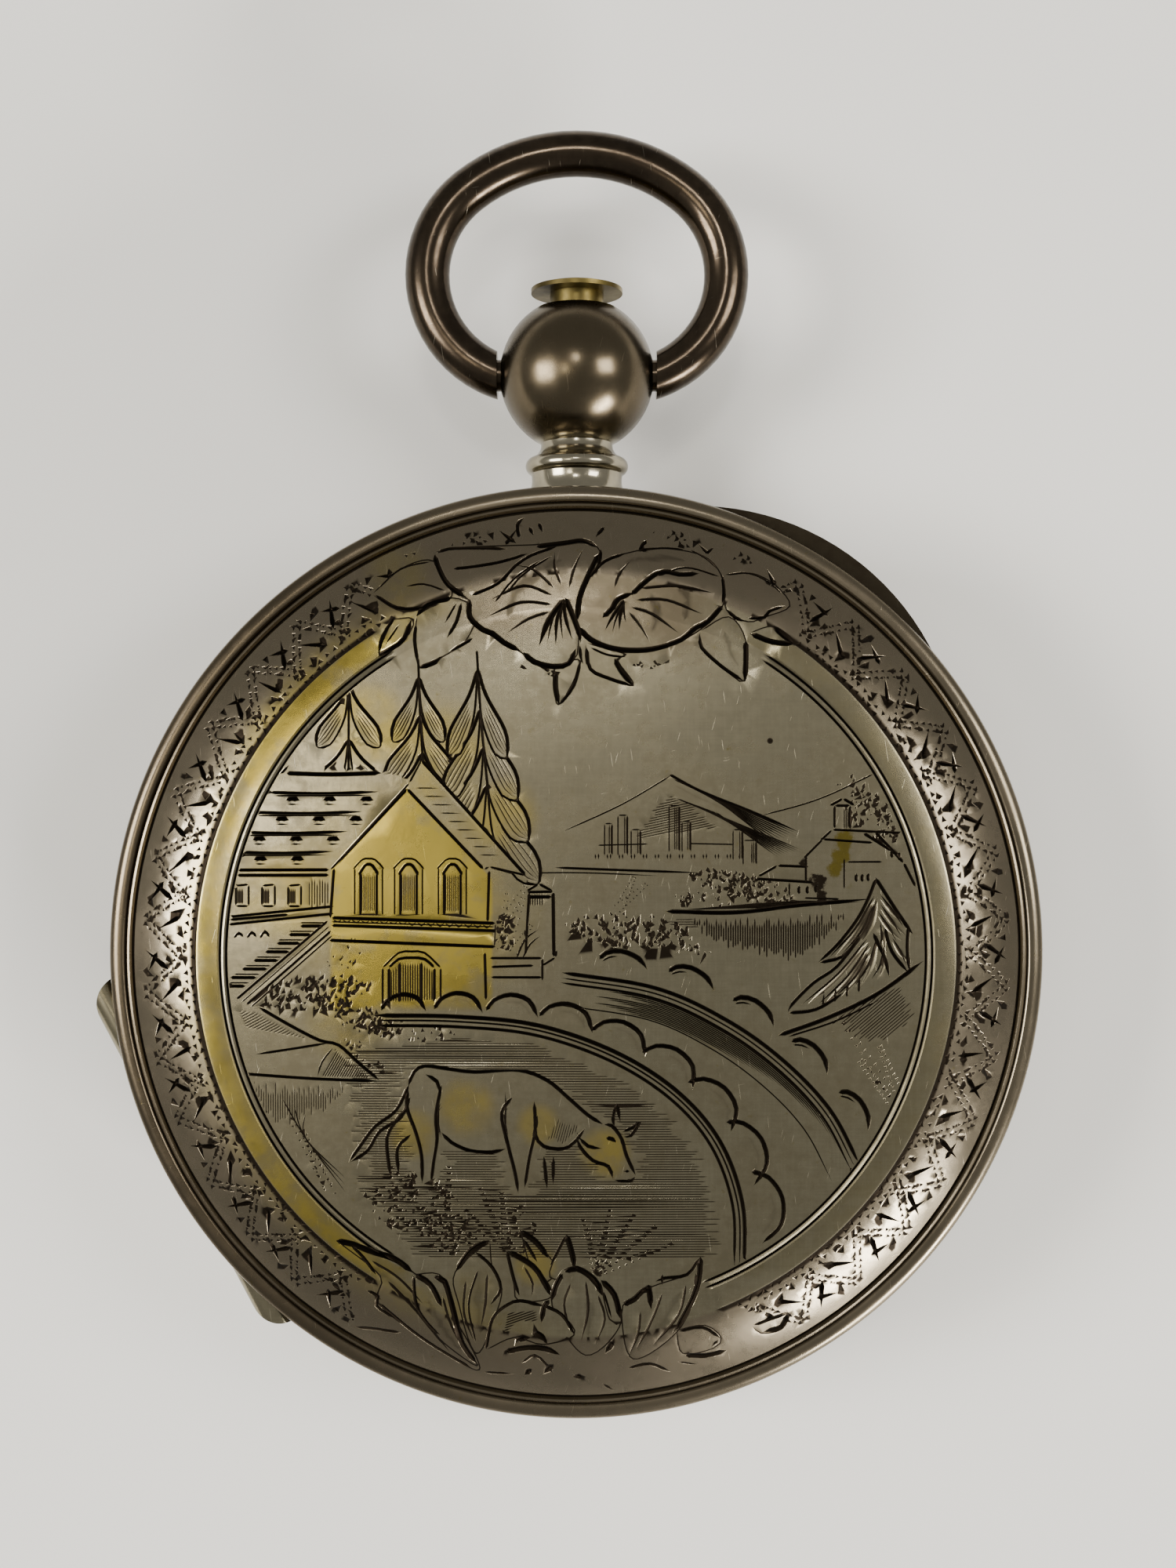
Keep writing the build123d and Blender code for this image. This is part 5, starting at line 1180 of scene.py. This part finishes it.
    # right flower
    plate.leaf([(0.1, 15.0), (0.5, 15.8), (1.25, 16.6), (2.1, 16.9), (3.5, 17.15), (5.3, 16.85), (6.1, 16.0),
                (6.2, 14.8),
                (5.5, 13.9), (4.4, 13.2), (2.9, 12.8), (1.5, 12.85), (0.5, 13.2), (0.05, 13.9)],
               (thick, (0.95, 16.9), (0.5, 15.9), (0.15, 15.0), (0.05, 14.0)),
               (medium, (0.5, 15.8), (1.2, 16.55), (2.1, 16.9)),
               (thin, (2.5, 17.0), (3.6, 17.15), (4.6, 17.1)),
               (thin, (4.8, 17.1), (5.5, 16.7), (6.0, 16.2)),
               (medium, (6.15, 16.0), (6.2, 15.2), (6.1, 14.75)),
               (thick, (6.15, 14.7), (5.5, 14.0), (5.0, 13.75), (4.4, 13.25), (3.6, 12.95)),
               (thick, (4.0, 13.05), (2.9, 12.8), (1.6, 12.85), (0.6, 13.25), (0.1, 13.8)),
               (thick, (1.1, 14.15), (1.55, 14.6), (1.75, 14.95), (2.4, 15.2)),
               (thick, (2.3, 15.1), (2.8, 15.6), (3.4, 16.05), (3.9, 16.1), (4.3, 16.0), (5.2, 16.05)),
               (thin, (3.4, 15.9), (4.6, 16.3), (6.1, 15.9)), (-0.6, (3.1, 15.3), (3.4, 14.3), (3.1, 13.4)),
               (-0.6, (4.2, 15.6), (4.7, 14.9), (4.5, 14.0)), (-0.5, (2.3, 14.6), (2.4, 13.6)),
               (-0.5, (5.2, 15.6), (5.6, 14.9)),
               (-0.5, (1.9, 16.5), (3.3, 16.7), (4.7, 16.6)))
    for end, width in (((1.2, 13.6), medium), ((1.5, 13.5), thin), ((1.8, 13.6), medium),
                       ((2.1, 13.9), thin)):
        plate.stroke([(2.0, 14.9), (0.5 * (2.0 + end[0]) - 0.05, 0.5 * (14.9 + end[1])), end], width, 0.1,
                     0.8)
    # folds in both flowers
    plate.lines([(2.3, 14.6), (3.2, 14.3), (4.3, 13.5)], [(2.5, 14.9), (3.8, 14.9), (5.3, 14.3)],
                [(2.2, 14.4), (2.7, 13.8), (3.1, 13.1)], [(2.7, 15.4), (4.2, 15.5), (5.8, 15.2)],
                [(1.6, 15.4), (1.8, 16.0), (2.3, 16.6)], [(-1.0, 15.1), (-2.2, 15.5), (-3.6, 14.9)],
                [(-1.0, 14.7), (-2.3, 14.8), (-3.7, 14.2)], [(-1.1, 14.4), (-2.0, 14.1), (-2.9, 13.5)],
                [(-0.9, 15.4), (-1.8, 16.2), (-2.6, 16.4)], [(-0.6, 15.5), (-0.9, 16.3), (-0.9, 17.0)],
                [(-0.3, 15.4), (-0.1, 16.2), (0.3, 17.1)], width=0.11, head=0.25, tail=0.9, dark=0.55,
                slope=0.5)
    plate.stipple((-1.6, 12.0), (0.9, 0.2), 9, 0, 0.14, 60, -15)
    plate.stipple((3.0, 12.2), (1.3, 0.15), 12, 0, 0.11, 60, 8)


# ---- the punched border between the rim and the ring ----

border_units = 40


def ring_shown(angle):
    """1 where the polished ring shows, 0 where the leaves cover it."""
    turn = np.mod(angle, 360)
    shown = np.ones_like(turn)
    for start, end in ((58, 121), (239, 291)):
        shown = np.minimum(shown, np.clip(np.maximum(start - turn, turn - end) / 1.5, 0, 1))
    return shown


def engrave_border(plate):
    """A zigzag of double rows of dots, with daggers and wedges between them."""
    chance = plate.random
    pitch = 360 / border_units
    outer, inner = 18.3, 16.6

    def dagger(radius, angle, lean, length, width):
        """A cut that is widest near its head and leans from the outward direction."""
        x, y = polar(radius, angle)
        dx, dy = polar(0.5 * length, angle + lean)
        points = [(x + share * dx, y + share * dy) for share in (-1, -0.55, 0.1, 1)]
        plate.add(points, [0, 0.5 * width, 0.36 * width, 0], 1.1)

    for tooth in range(260):
        angle = 360 / 260 * tooth + chance.uniform(-0.25, 0.25)
        for radius, turn in ((16.1, 0), (16.4, 0.7)):
            plate.pit(polar(radius + chance.uniform(-0.04, 0.04), angle + turn),
                      angle + chance.uniform(40, 140),
                      chance.uniform(0.2, 0.3))
    for unit in range(border_units):
        angle = pitch * (unit + chance.uniform(-0.07, 0.07))
        for first_r, last_r, first_turn in ((inner, outer, 0.0), (outer, inner, 0.5)):
            for row in (-0.55, 0.55):
                for dot in range(9):
                    share = dot / 8
                    radius = first_r + share * (last_r - first_r)
                    here = angle + pitch * (first_turn + 0.5 * share) + row
                    along = here + (38 if last_r > first_r else 142)
                    plate.pit(polar(radius + chance.uniform(-0.03, 0.03), here),
                              along + chance.uniform(-12, 12), 0.2)
        # crossed daggers where the zigzag opens outwards
        lean = chance.uniform(-50, -20)
        dagger(17.7, angle + chance.uniform(-0.3, 0.3), lean, 1.35, 0.26)
        dagger(17.9, angle + chance.uniform(-0.4, 0.4), lean + chance.uniform(75, 105), 0.95, 0.24)
        plate.pit(polar(18.2, angle + 0.22 * pitch), angle + chance.uniform(120, 200), 0.4)
        plate.pit(polar(17.2, angle - 0.02 * pitch), angle + chance.uniform(60, 160), 0.34)
        # a long dagger and two wedges where it opens inwards
        dagger(17.15, angle + 0.5 * pitch + chance.uniform(-0.3, 0.3), chance.uniform(15, 60), 1.25, 0.22)
        plate.pit(polar(16.85, angle + 0.36 * pitch), angle + chance.uniform(90, 260), 0.5)
        plate.pit(polar(16.7, angle + 0.62 * pitch), angle + chance.uniform(90, 260), 0.42)


def beyond_field(x, y):
    """Tells which points lie on the ring or outside it."""
    return np.hypot(x, y) > 14.5


def engraved_plate():
    plate = Plate()
    engrave_mountains(plate)
    engrave_shore(plate)
    engrave_leaf_fir(plate, (-9.5, 12.1), 2, 6.4, 2.2)
    engrave_leaf_fir(plate, (-6.6, 12.2), 3, 6.6, 1.9, 0.4)
    engrave_leaf_fir(plate, (-4.15, 12.5), 4, 8.9, 2.2, 0.9)
    plate.clear(inside([(-12.0, 8.0), (-8.1, 7.75), (-7.0, 7.4), (-6.45, 8.2), (-2.1, 3.4), (-3.4, 3.6),
                        (-3.4, -2.0), (-14.6, -2.0),
                        (-14.6, 4.8)]))
    engrave_chalet(plate)
    engrave_post(plate)
    engrave_right_fir(plate)
    engrave_road(plate)
    engrave_ground(plate)
    plate.clear(inside(cow_outline))
    engrave_cow(plate)
    plate.clear(beyond_field)
    engrave_border(plate)
    engrave_spray(plate)
    engrave_garland(plate)
    return plate


# ---- back cover ----

def cover_profile():
    """Rows of (radius, height, darkness) over the cover's top, from the rim to the field's edge."""
    rows = [(rim_r, bead_z, 0.1), (rim_r - 0.015, bead_z + 0.1, 0.05), (rim_r - 0.07, bead_z + 0.22, 0),
            (rim_r - 0.18, bead_z + 0.32, 0), (rim_r - 0.34, bead_z + 0.39, 0),
            (rim_r - 0.5, bead_z + 0.41, 0),
            (rim_r - 0.63, bead_z + 0.39, 0), (rim_r - 0.69, bead_z + 0.35, 0.05),
            (rim_r - 0.73, bead_z + 0.3, 0.3),
            (rim_r - 0.77, bead_z + 0.36, 0.1), (rim_r - 0.84, bead_z + 0.46, 0),
            (rim_r - 0.93, bead_z + 0.49, 0),
            (rim_r - 1.0, bead_z + 0.43, 0), (rim_r - 1.06, bead_z + 0.35, 0.3),
            (rim_r - 1.12, bead_z + 0.44, 0.1),
            (slope_r, slope_z, 0)]
    steps = 9
    for step in range(1, steps):
        share = step / steps
        radius = slope_r + share * (ring_outer + 0.06 - slope_r)
        bulge = 0.16 * 4 * share * (1 - share)
        rows.append((radius, slope_z + share * (ring_z - 0.06 - slope_z) + bulge, 0))
    rows += [(ring_outer + 0.06, ring_z - 0.06, 0.5), (ring_outer, ring_z, 0.1),
             (ring_outer - 0.08, ring_z + 0.02, 0),
             (ring_inner + 0.12, field_z, 0), (ring_inner + 0.04, field_z - 0.03, 0.25),
             (ring_inner - 0.01, field_z - 0.1, 1), (ring_inner - 0.06, field_z - 0.02, 0.2),
             (ring_inner - 0.14, field_z + 0.01, 0), (ring_inner - 0.22, field_z - 0.01, 0.2),
             (ring_inner - 0.27, field_z - 0.07, 0.9), (ring_inner - 0.33, field_z, 0.1)]
    return rows


def field_height(radius):
    edge = ring_inner - 0.33
    return field_z + (cover_top - field_z) * (1 - np.minimum(radius / edge, 1) ** 2)


def cover_under(angle):
    """The cover's underside and inner wall at an angle, as rows of (radius, height)."""
    wall = cover_wall_r
    off = radians((angle - hinge_direction + 180) % 360 - 180)
    arm = (rim_r - 0.85) / cos(off)
    if abs(off) < 0.5 and 2.4 < arm * abs(sin(off)) < 4.1:
        wall = arm
    return [(rim_r - 0.06, cover_z + 0.16), (rim_r - 0.22, cover_z + 0.04), (rim_r - 0.4, cover_z),
            (wall, cover_z),
            (wall, cover_z + 0.6), (cover_wall_r, cover_z + 0.7), (17.5, 10.72), (16.8, 11.1),
            (ring_outer, 11.42),
            (ring_inner, 11.6), (10.0, 11.76), (5.0, 11.87)]


def make_back_cover():
    plate = engraved_plate()
    profile = cover_profile()
    points = []
    edges = []
    for radius, _, _ in profile:
        first = len(points)
        points += [polar(radius, 360 * step / segments) for step in range(segments)]
        edges += [(first + step, first + (step + 1) % segments) for step in range(segments)]
    edge = ring_inner - 0.6
    gap = field_gap
    rows = int(edge / gap / 0.87) + 1
    for row in range(-rows, rows + 1):
        for column in range(-rows, rows + 1):
            x, y = turned_point((gap * (column + 0.5 * (row % 2)), gap * 0.87 * row), field_turn)
            if hypot(x, y) < edge:
                points.append((x, y))
    reach = slope_r - 0.1
    for path, halves, _, _ in plate.cuts:
        if max(hypot(x, y) for x, y in path) > reach:
            continue
        add_cut_outline(points, edges, path, halves)
    found, _, faces, origin, _, _ = delaunay_2d_cdt([Vector(point) for point in points], edges, [], 0, 1e-5)
    place = np.array(found)
    radius = np.hypot(place[:, 0], place[:, 1])
    rings = np.array(profile)[::-1]
    plain = rings[(rings[:, 0] > ring_outer + 0.1) | (rings[:, 0] == rings[0, 0])]
    shown = ring_shown(np.degrees(np.arctan2(place[:, 1], place[:, 0])))
    ringed = np.interp(radius, rings[:, 0], rings[:, 1])
    smooth = np.interp(radius, plain[:, 0], plain[:, 1])
    height = np.where(radius < rings[0, 0], field_height(radius), shown * ringed + (1 - shown) * smooth)
    dark = np.where(radius < rings[0, 0], 0.0, np.interp(radius, rings[:, 0], rings[:, 2]))
    dark = np.where(radius < ring_outer + 0.1, shown * dark, dark)
    depth, tarnish = cut_depths(plate.cuts, place, reach)
    height = height - depth
    dark = np.maximum(dark, tarnish)
    rim = {}
    for number, sources in enumerate(origin):
        for source in sources:
            if source < segments:
                rim[source] = number
    top = np.column_stack([place, height])
    ring_now = [rim[step] for step in range(segments)]
    under = []
    for step in range(segments):
        angle = 360 * step / segments
        under.append([(*polar(r, angle), z) for r, z in cover_under(angle)])
    extra = np.array(under).transpose(1, 0, 2)
    faces = [list(face) for face in faces]
    first = len(top)
    for level in range(len(extra)):
        ring_next = [first + level * segments + step for step in range(segments)]
        for step in range(segments):
            after = (step + 1) % segments
            faces.append([ring_now[step], ring_next[step], ring_next[after], ring_now[after]])
        ring_now = ring_next
    middle = first + extra.shape[0] * segments
    faces += [[ring_now[(step + 1) % segments], ring_now[step], middle] for step in range(segments)]
    everything = np.vstack([top, extra.reshape(-1, 3), [(0, 0, cover_top - inner_skin)]])
    dark = np.concatenate([dark, np.full(len(everything) - len(dark), 0.12)])
    mesh = new_mesh("back_cover_engraved", everything, faces, finishes["silver_engraved"], 19, {"cut": dark})
    add_piece("back_cover_engraved", mesh, "back", ["back_cover"])


def add_cut_outline(points, edges, path, halves):
    """A cut's two edges and its middle line, as points and edges for the triangulation."""
    ahead = np.gradient(path, axis=0)
    ahead /= np.maximum(np.hypot(ahead[:, 0], ahead[:, 1]), 1e-9)[:, None]
    side = np.column_stack([-ahead[:, 1], ahead[:, 0]]) * halves[:, None]
    first = len(points)
    if len(path) == 2:
        deep = path[0] + 0.28 * (path[1] - path[0])
        points += [tuple(path[0] + side[0]), tuple(path[0] - side[0]), tuple(path[1]), tuple(deep)]
        edges += [(first, first + 1), (first + 1, first + 2), (first + 2, first)]
        return
    rows = {"left": [], "middle": [], "right": []}
    for number in range(len(path)):
        if halves[number] < 1e-4:
            points.append(tuple(path[number]))
            for row in rows.values():
                row.append(len(points) - 1)
            continue
        for name, sign in (("left", 1), ("middle", 0), ("right", -1)):
            points.append(tuple(path[number] + sign * side[number]))
            rows[name].append(len(points) - 1)
    for row in rows.values():
        edges += [(start, end) for start, end in zip(row, row[1:]) if start != end]


def cut_depths(cuts, place, reach):
    """How deep and how dark each point of the cover is, from the cuts that cover it."""
    order = np.argsort(place[:, 0])
    xs = place[order, 0]
    ys = place[order, 1]
    depth = np.zeros(len(xs))
    tarnish = np.zeros(len(xs))
    for path, halves, slope, dark in cuts:
        if max(hypot(x, y) for x, y in path) > reach:
            continue
        widest = halves.max()
        for start, end, half_a, half_b in zip(path[:-1], path[1:], halves[:-1], halves[1:]):
            left = np.searchsorted(xs, min(start[0], end[0]) - widest)
            right = np.searchsorted(xs, max(start[0], end[0]) + widest)
            px, py = xs[left:right], ys[left:right]
            near = (py > min(start[1], end[1]) - widest) & (py < max(start[1], end[1]) + widest)
            if not near.any():
                continue
            chosen = np.nonzero(near)[0]
            px, py = px[chosen], py[chosen]
            dx, dy = end - start
            share = np.clip(((px - start[0]) * dx + (py - start[1]) * dy) / max(dx * dx + dy * dy, 1e-12), 0,
                            1)
            gap = np.hypot(px - start[0] - share * dx, py - start[1] - share * dy)
            half = half_a + share * (half_b - half_a)
            within = np.maximum(half - gap, 0)
            chosen += left
            depth[chosen] = np.maximum(depth[chosen], slope * within)
            shade = dark * np.clip(2.2 * within / np.maximum(half, 1e-6), 0, 1)
            tarnish[chosen] = np.maximum(tarnish[chosen], shade * (within > 0.002))
    result = np.zeros((2, len(xs)))
    result[0, order] = np.minimum(depth, deepest_cut)
    result[1, order] = tarnish
    return result


# ---- case band, with a reeded edge made by nodes ----

class NodeTree:
    """A Geometry Nodes tree with named inputs that is being made."""

    def __init__(self, name, inputs):
        self.tree = bpy.data.node_groups.new(name, "GeometryNodeTree")
        self.sockets = {}
        for label, kind, value in inputs:
            socket = self.tree.interface.new_socket(label, in_out="INPUT", socket_type=kind)
            socket.default_value = value
            self.sockets[label] = socket.identifier
        self.tree.interface.new_socket("Geometry", in_out="OUTPUT", socket_type="NodeSocketGeometry")
        self.given = self.tree.nodes.new("NodeGroupInput")

    def node(self, kind, settings=(), values=()):
        made = self.tree.nodes.new(kind)
        for key, value in dict(settings).items():
            setattr(made, key, value)
        for key, value in dict(values).items():
            if isinstance(value, bpy.types.NodeSocket):
                self.tree.links.new(value, made.inputs[key])
            else:
                made.inputs[key].default_value = value
        return made

    def end(self, geometry):
        output = self.tree.nodes.new("NodeGroupOutput")
        self.tree.links.new(geometry, output.inputs[0])


def ring_tree(name, finish):
    """Small blocks or posts in a ring about Z, each turned to face outwards, with some left out."""
    nodes = NodeTree(name, [
        ("Count", "NodeSocketInt", 12), ("Radius", "NodeSocketFloat", 0.01),
        ("Height", "NodeSocketFloat", 0.0),
        ("Size", "NodeSocketVector", (0.001, 0.001, 0.001)), ("Round", "NodeSocketBool", False),
        ("Skip every", "NodeSocketInt", 1000)])
    given = nodes.given.outputs
    circle = nodes.node("GeometryNodeMeshCircle", (), {"Vertices": given["Count"],
                                                       "Radius": given["Radius"]})
    lift = nodes.node("ShaderNodeCombineXYZ", (), {"Z": given["Height"]})
    ring = nodes.node("GeometryNodeTransform", (), {"Geometry": circle.outputs[0],
                                                    "Translation": lift.outputs[0]})
    index = nodes.node("GeometryNodeInputIndex")
    rest = nodes.node("FunctionNodeIntegerMath", {"operation": "MODULO"},
                      {0: index.outputs[0], 1: given["Skip every"]})
    kept = nodes.node("FunctionNodeCompare", {"data_type": "INT", "operation": "NOT_EQUAL"},
                      {2: rest.outputs[0], 3: 0})
    place = nodes.node("GeometryNodeInputPosition")
    outward = nodes.node("ShaderNodeVectorMath", {"operation": "MULTIPLY"},
                         {0: place.outputs[0], 1: (1, 1, 0)})
    facing = nodes.node("FunctionNodeAlignRotationToVector", {"axis": "X"}, {"Vector": outward.outputs[0]})
    block = nodes.node("GeometryNodeMeshCube", (), {"Size": given["Size"]})
    post = nodes.node("GeometryNodeMeshCylinder", (), {"Vertices": 10, "Radius": 0.5, "Depth": 1.0})
    scaled = nodes.node("GeometryNodeTransform", (), {"Geometry": post.outputs[0], "Scale": given["Size"]})
    shape = nodes.node("GeometryNodeSwitch", {"input_type": "GEOMETRY"}, {
        "Switch": given["Round"], "False": block.outputs[0], "True": scaled.outputs[0]})
    copies = nodes.node("GeometryNodeInstanceOnPoints", (), {
        "Points": ring.outputs[0], "Selection": kept.outputs[0], "Instance": shape.outputs[0],
        "Rotation": facing.outputs[0]})
    real = nodes.node("GeometryNodeRealizeInstances", (), {0: copies.outputs[0]})
    painted = nodes.node("GeometryNodeSetMaterial", (), {"Geometry": real.outputs[0], "Material": finish})
    nodes.end(painted.outputs[0])
    return nodes


def grown(name, nodes, values):
    """The mesh that a Geometry Nodes tree makes with these inputs."""
    holder = bpy.data.objects.new(name, bpy.data.meshes.new(name))
    bpy.context.scene.collection.objects.link(holder)
    modifier = holder.modifiers.new("grown", "NODES")
    modifier.node_group = nodes.tree
    for label, value in values.items():
        modifier[nodes.sockets[label]] = value
    graph = bpy.context.evaluated_depsgraph_get()
    mesh = bpy.data.meshes.new_from_object(holder.evaluated_get(graph))
    bpy.data.objects.remove(holder)
    mesh.name = name
    return mesh


def drop_points(mesh, dropped):
    """Takes away the faces whose middle is in the dropped region, given in millimetres."""
    shape = bmesh.new()
    shape.from_mesh(mesh)
    doomed = [face for face in shape.faces if dropped(face.calc_center_median() / MM)]
    bmesh.ops.delete(shape, geom=doomed, context="FACES")
    shape.to_mesh(mesh)
    shape.free()


def make_band_reeding():
    """Fine upright ribs round the case band, clear of the hinge and the pendant."""
    nodes = ring_tree("reeded edge", finishes["silver_case"])
    bottom, top = band_front + 0.9, band_back - 0.75
    mesh = grown("band_reeding", nodes, {
        "Count": 300, "Radius": (band_r - 0.01) * MM, "Height": 0.5 * (bottom + top) * MM,
        "Size": (0.2 * MM, 0.26 * MM, (top - bottom) * MM), "Round": True})

    def dropped(place):
        angle = degrees(atan2(place.y, place.x)) % 360
        return abs(angle - hinge_direction) < 25.5 or abs(angle - 90) < 8.6

    drop_points(mesh, dropped)
    mesh.shade_smooth()
    mesh.set_sharp_from_angle(angle=radians(50))
    add_piece("band_reeding", mesh, "case")


# ---- dial ----

def make_numerals():
    """Upright Roman numerals round the dial, read with XII at the pendant."""
    outer, inner = dial_r - 2.55, dial_r - 5.15
    height = outer - inner
    names = ["XII", "I", "II", "III", "IV", "V", "VI", "VII", "VIII", "IX", "X", "XI"]
    bars = {"I": [(0.0, 0.0, 0.34)], "V": [(-0.42, 0.0, 0.34), (0.42, 0.0, 0.12)],
            "X": [(-0.45, 0.45, 0.34), (0.45, -0.45, 0.12)]}
    widths = {"I": 0.62, "V": 1.25, "X": 1.3}
    outlines = []
    for hour, name in enumerate(names):
        total = sum(widths[letter] for letter in name)
        cursor = -total / 2
        plates = []
        for letter in name:
            middle = cursor + widths[letter] / 2
            cursor += widths[letter]
            for top_shift, foot_shift, thick in bars[letter]:
                plates.append([(middle + foot_shift - thick / 2, 0), (middle + foot_shift + thick / 2, 0),
                               (middle + top_shift + thick / 2, height),
                               (middle + top_shift - thick / 2, height)])
            half = widths[letter] / 2 - 0.02
            for level in ([0, height] if letter != "V" else [height]):
                plates.append([(middle - half, level - 0.06), (middle + half, level - 0.06),
                               (middle + half, level + 0.06), (middle - half, level + 0.06)])
        for plate in plates:
            # seen from the front, +X is on the left
            rows = [(-x, inner + y) for x, y in plate]
            outlines.append([turned_point(point, 30 * hour) for point in rows])
    mesh = extruded("dial_numerals", outlines, dial_face - 0.02, dial_face + 0.01, numeral_finish)
    add_piece("dial_numerals", mesh, "case")


def ring_outline(outer, inner, name, finish, bottom, top, count=180):
    """A thin flat ring about Z."""
    points = []
    faces = []
    for step in range(count):
        for radius, z in ((outer, bottom), (outer, top), (inner, top), (inner, bottom)):
            points.append((*polar(radius, 360 * step / count), z))
    for step in range(count):
        after = (step + 1) % count
        for corner in range(4):
            following = (corner + 1) % 4
            faces.append([4 * step + corner, 4 * after + corner, 4 * after + following,
                          4 * step + following])
    return new_mesh(name, points, faces, finish)


def make_minute_track():
    nodes = ring_tree("minute marks", numeral_finish)
    marks = grown("minute_marks", nodes, {
        "Count": 60, "Radius": (dial_r - 1.75) * MM, "Height": (dial_face - 0.005) * MM,
        "Size": (0.5 * MM, 0.09 * MM, 0.03 * MM), "Skip every": 5})
    hours = grown("five_minute_marks", nodes, {
        "Count": 12, "Radius": (dial_r - 1.75) * MM, "Height": (dial_face - 0.005) * MM,
        "Size": (0.56 * MM, 0.3 * MM, 0.03 * MM)})
    for name, mesh in (("minute_marks", marks), ("five_minute_marks", hours)):
        add_piece(name, mesh, "case")
    for name, radius in (("minute_ring_outer", dial_r - 1.45), ("minute_ring_inner", dial_r - 2.05)):
        mesh = ring_outline(radius + 0.04, radius - 0.04, name, numeral_finish, dial_face - 0.02,
                            dial_face + 0.01)
        add_piece(name, mesh, "case")


# ---- finishes on the pieces that the frame brings ----

def dress_frame():
    for name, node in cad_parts.items():
        slot = node.data.materials[0].name.split(".")[0]
        node.data.materials[0] = finishes[slot]
    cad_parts["back_cover_lip"].data.materials[0] = shaded_lip_finish


# ---- floor, light and camera ----

floor_half = 600


def make_floor():
    half = floor_half
    mesh = new_mesh("floor", [(-half, -half, 0), (half, -half, 0), (half, half, 0), (-half, half, 0)],
                    [[0, 1, 2, 3]],
                    pale_cloth("pale floor"))
    floor = bpy.data.objects.new("floor", mesh)
    bpy.context.scene.collection.objects.link(floor)


def softbox(name, azimuth, elevation, distance, size, power, colour=(1, 0.97, 0.92)):
    """A square light that looks at the watch from a direction."""
    light = bpy.data.lights.new(name, "AREA")
    light.shape = "RECTANGLE"
    light.size = size[0] * MM
    light.size_y = size[1] * MM
    light.energy = power
    light.color = colour
    made = bpy.data.objects.new(name, light)
    bpy.context.scene.collection.objects.link(made)
    x, y = polar(cos(radians(elevation)), azimuth)
    away = Vector((x, y, sin(radians(elevation))))
    made.location = away * distance * MM + Vector((0, 0, 10 * MM))
    made.rotation_euler = away.to_track_quat("Z", "Y").to_euler()


def make_light():
    world = bpy.data.worlds.new("studio")
    world.use_nodes = True
    world.node_tree.nodes["Background"].inputs["Color"].default_value = (0.87, 0.86, 0.81, 1)
    world.node_tree.nodes["Background"].inputs["Strength"].default_value = 0.45
    bpy.context.scene.world = world
    softbox("window", 178, 42, 420, (150, 180), 2.1)
    softbox("left overhead", 172, 72, 460, (80, 80), 0.18, (1, 0.93, 0.78))
    softbox("right window", 12, 46, 420, (120, 160), 0.9)
    softbox("low window", -49, 21, 420, (170, 90), 2.7)
    softbox("overhead", 95, 72, 420, (45, 45), 0.2)


def make_camera():
    camera = bpy.data.cameras.new("camera")
    camera.sensor_fit = "VERTICAL"
    camera.angle = radians(45.1)
    camera.clip_start = 0.005
    made = bpy.data.objects.new("camera", camera)
    bpy.context.scene.collection.objects.link(made)
    made.location = (0.5 * MM, 7.2 * MM, 90.9 * MM)
    bpy.context.scene.camera = made


dress_frame()
make_back_cover()
make_band_reeding()
make_numerals()
make_minute_track()
make_floor()
make_light()
make_camera()
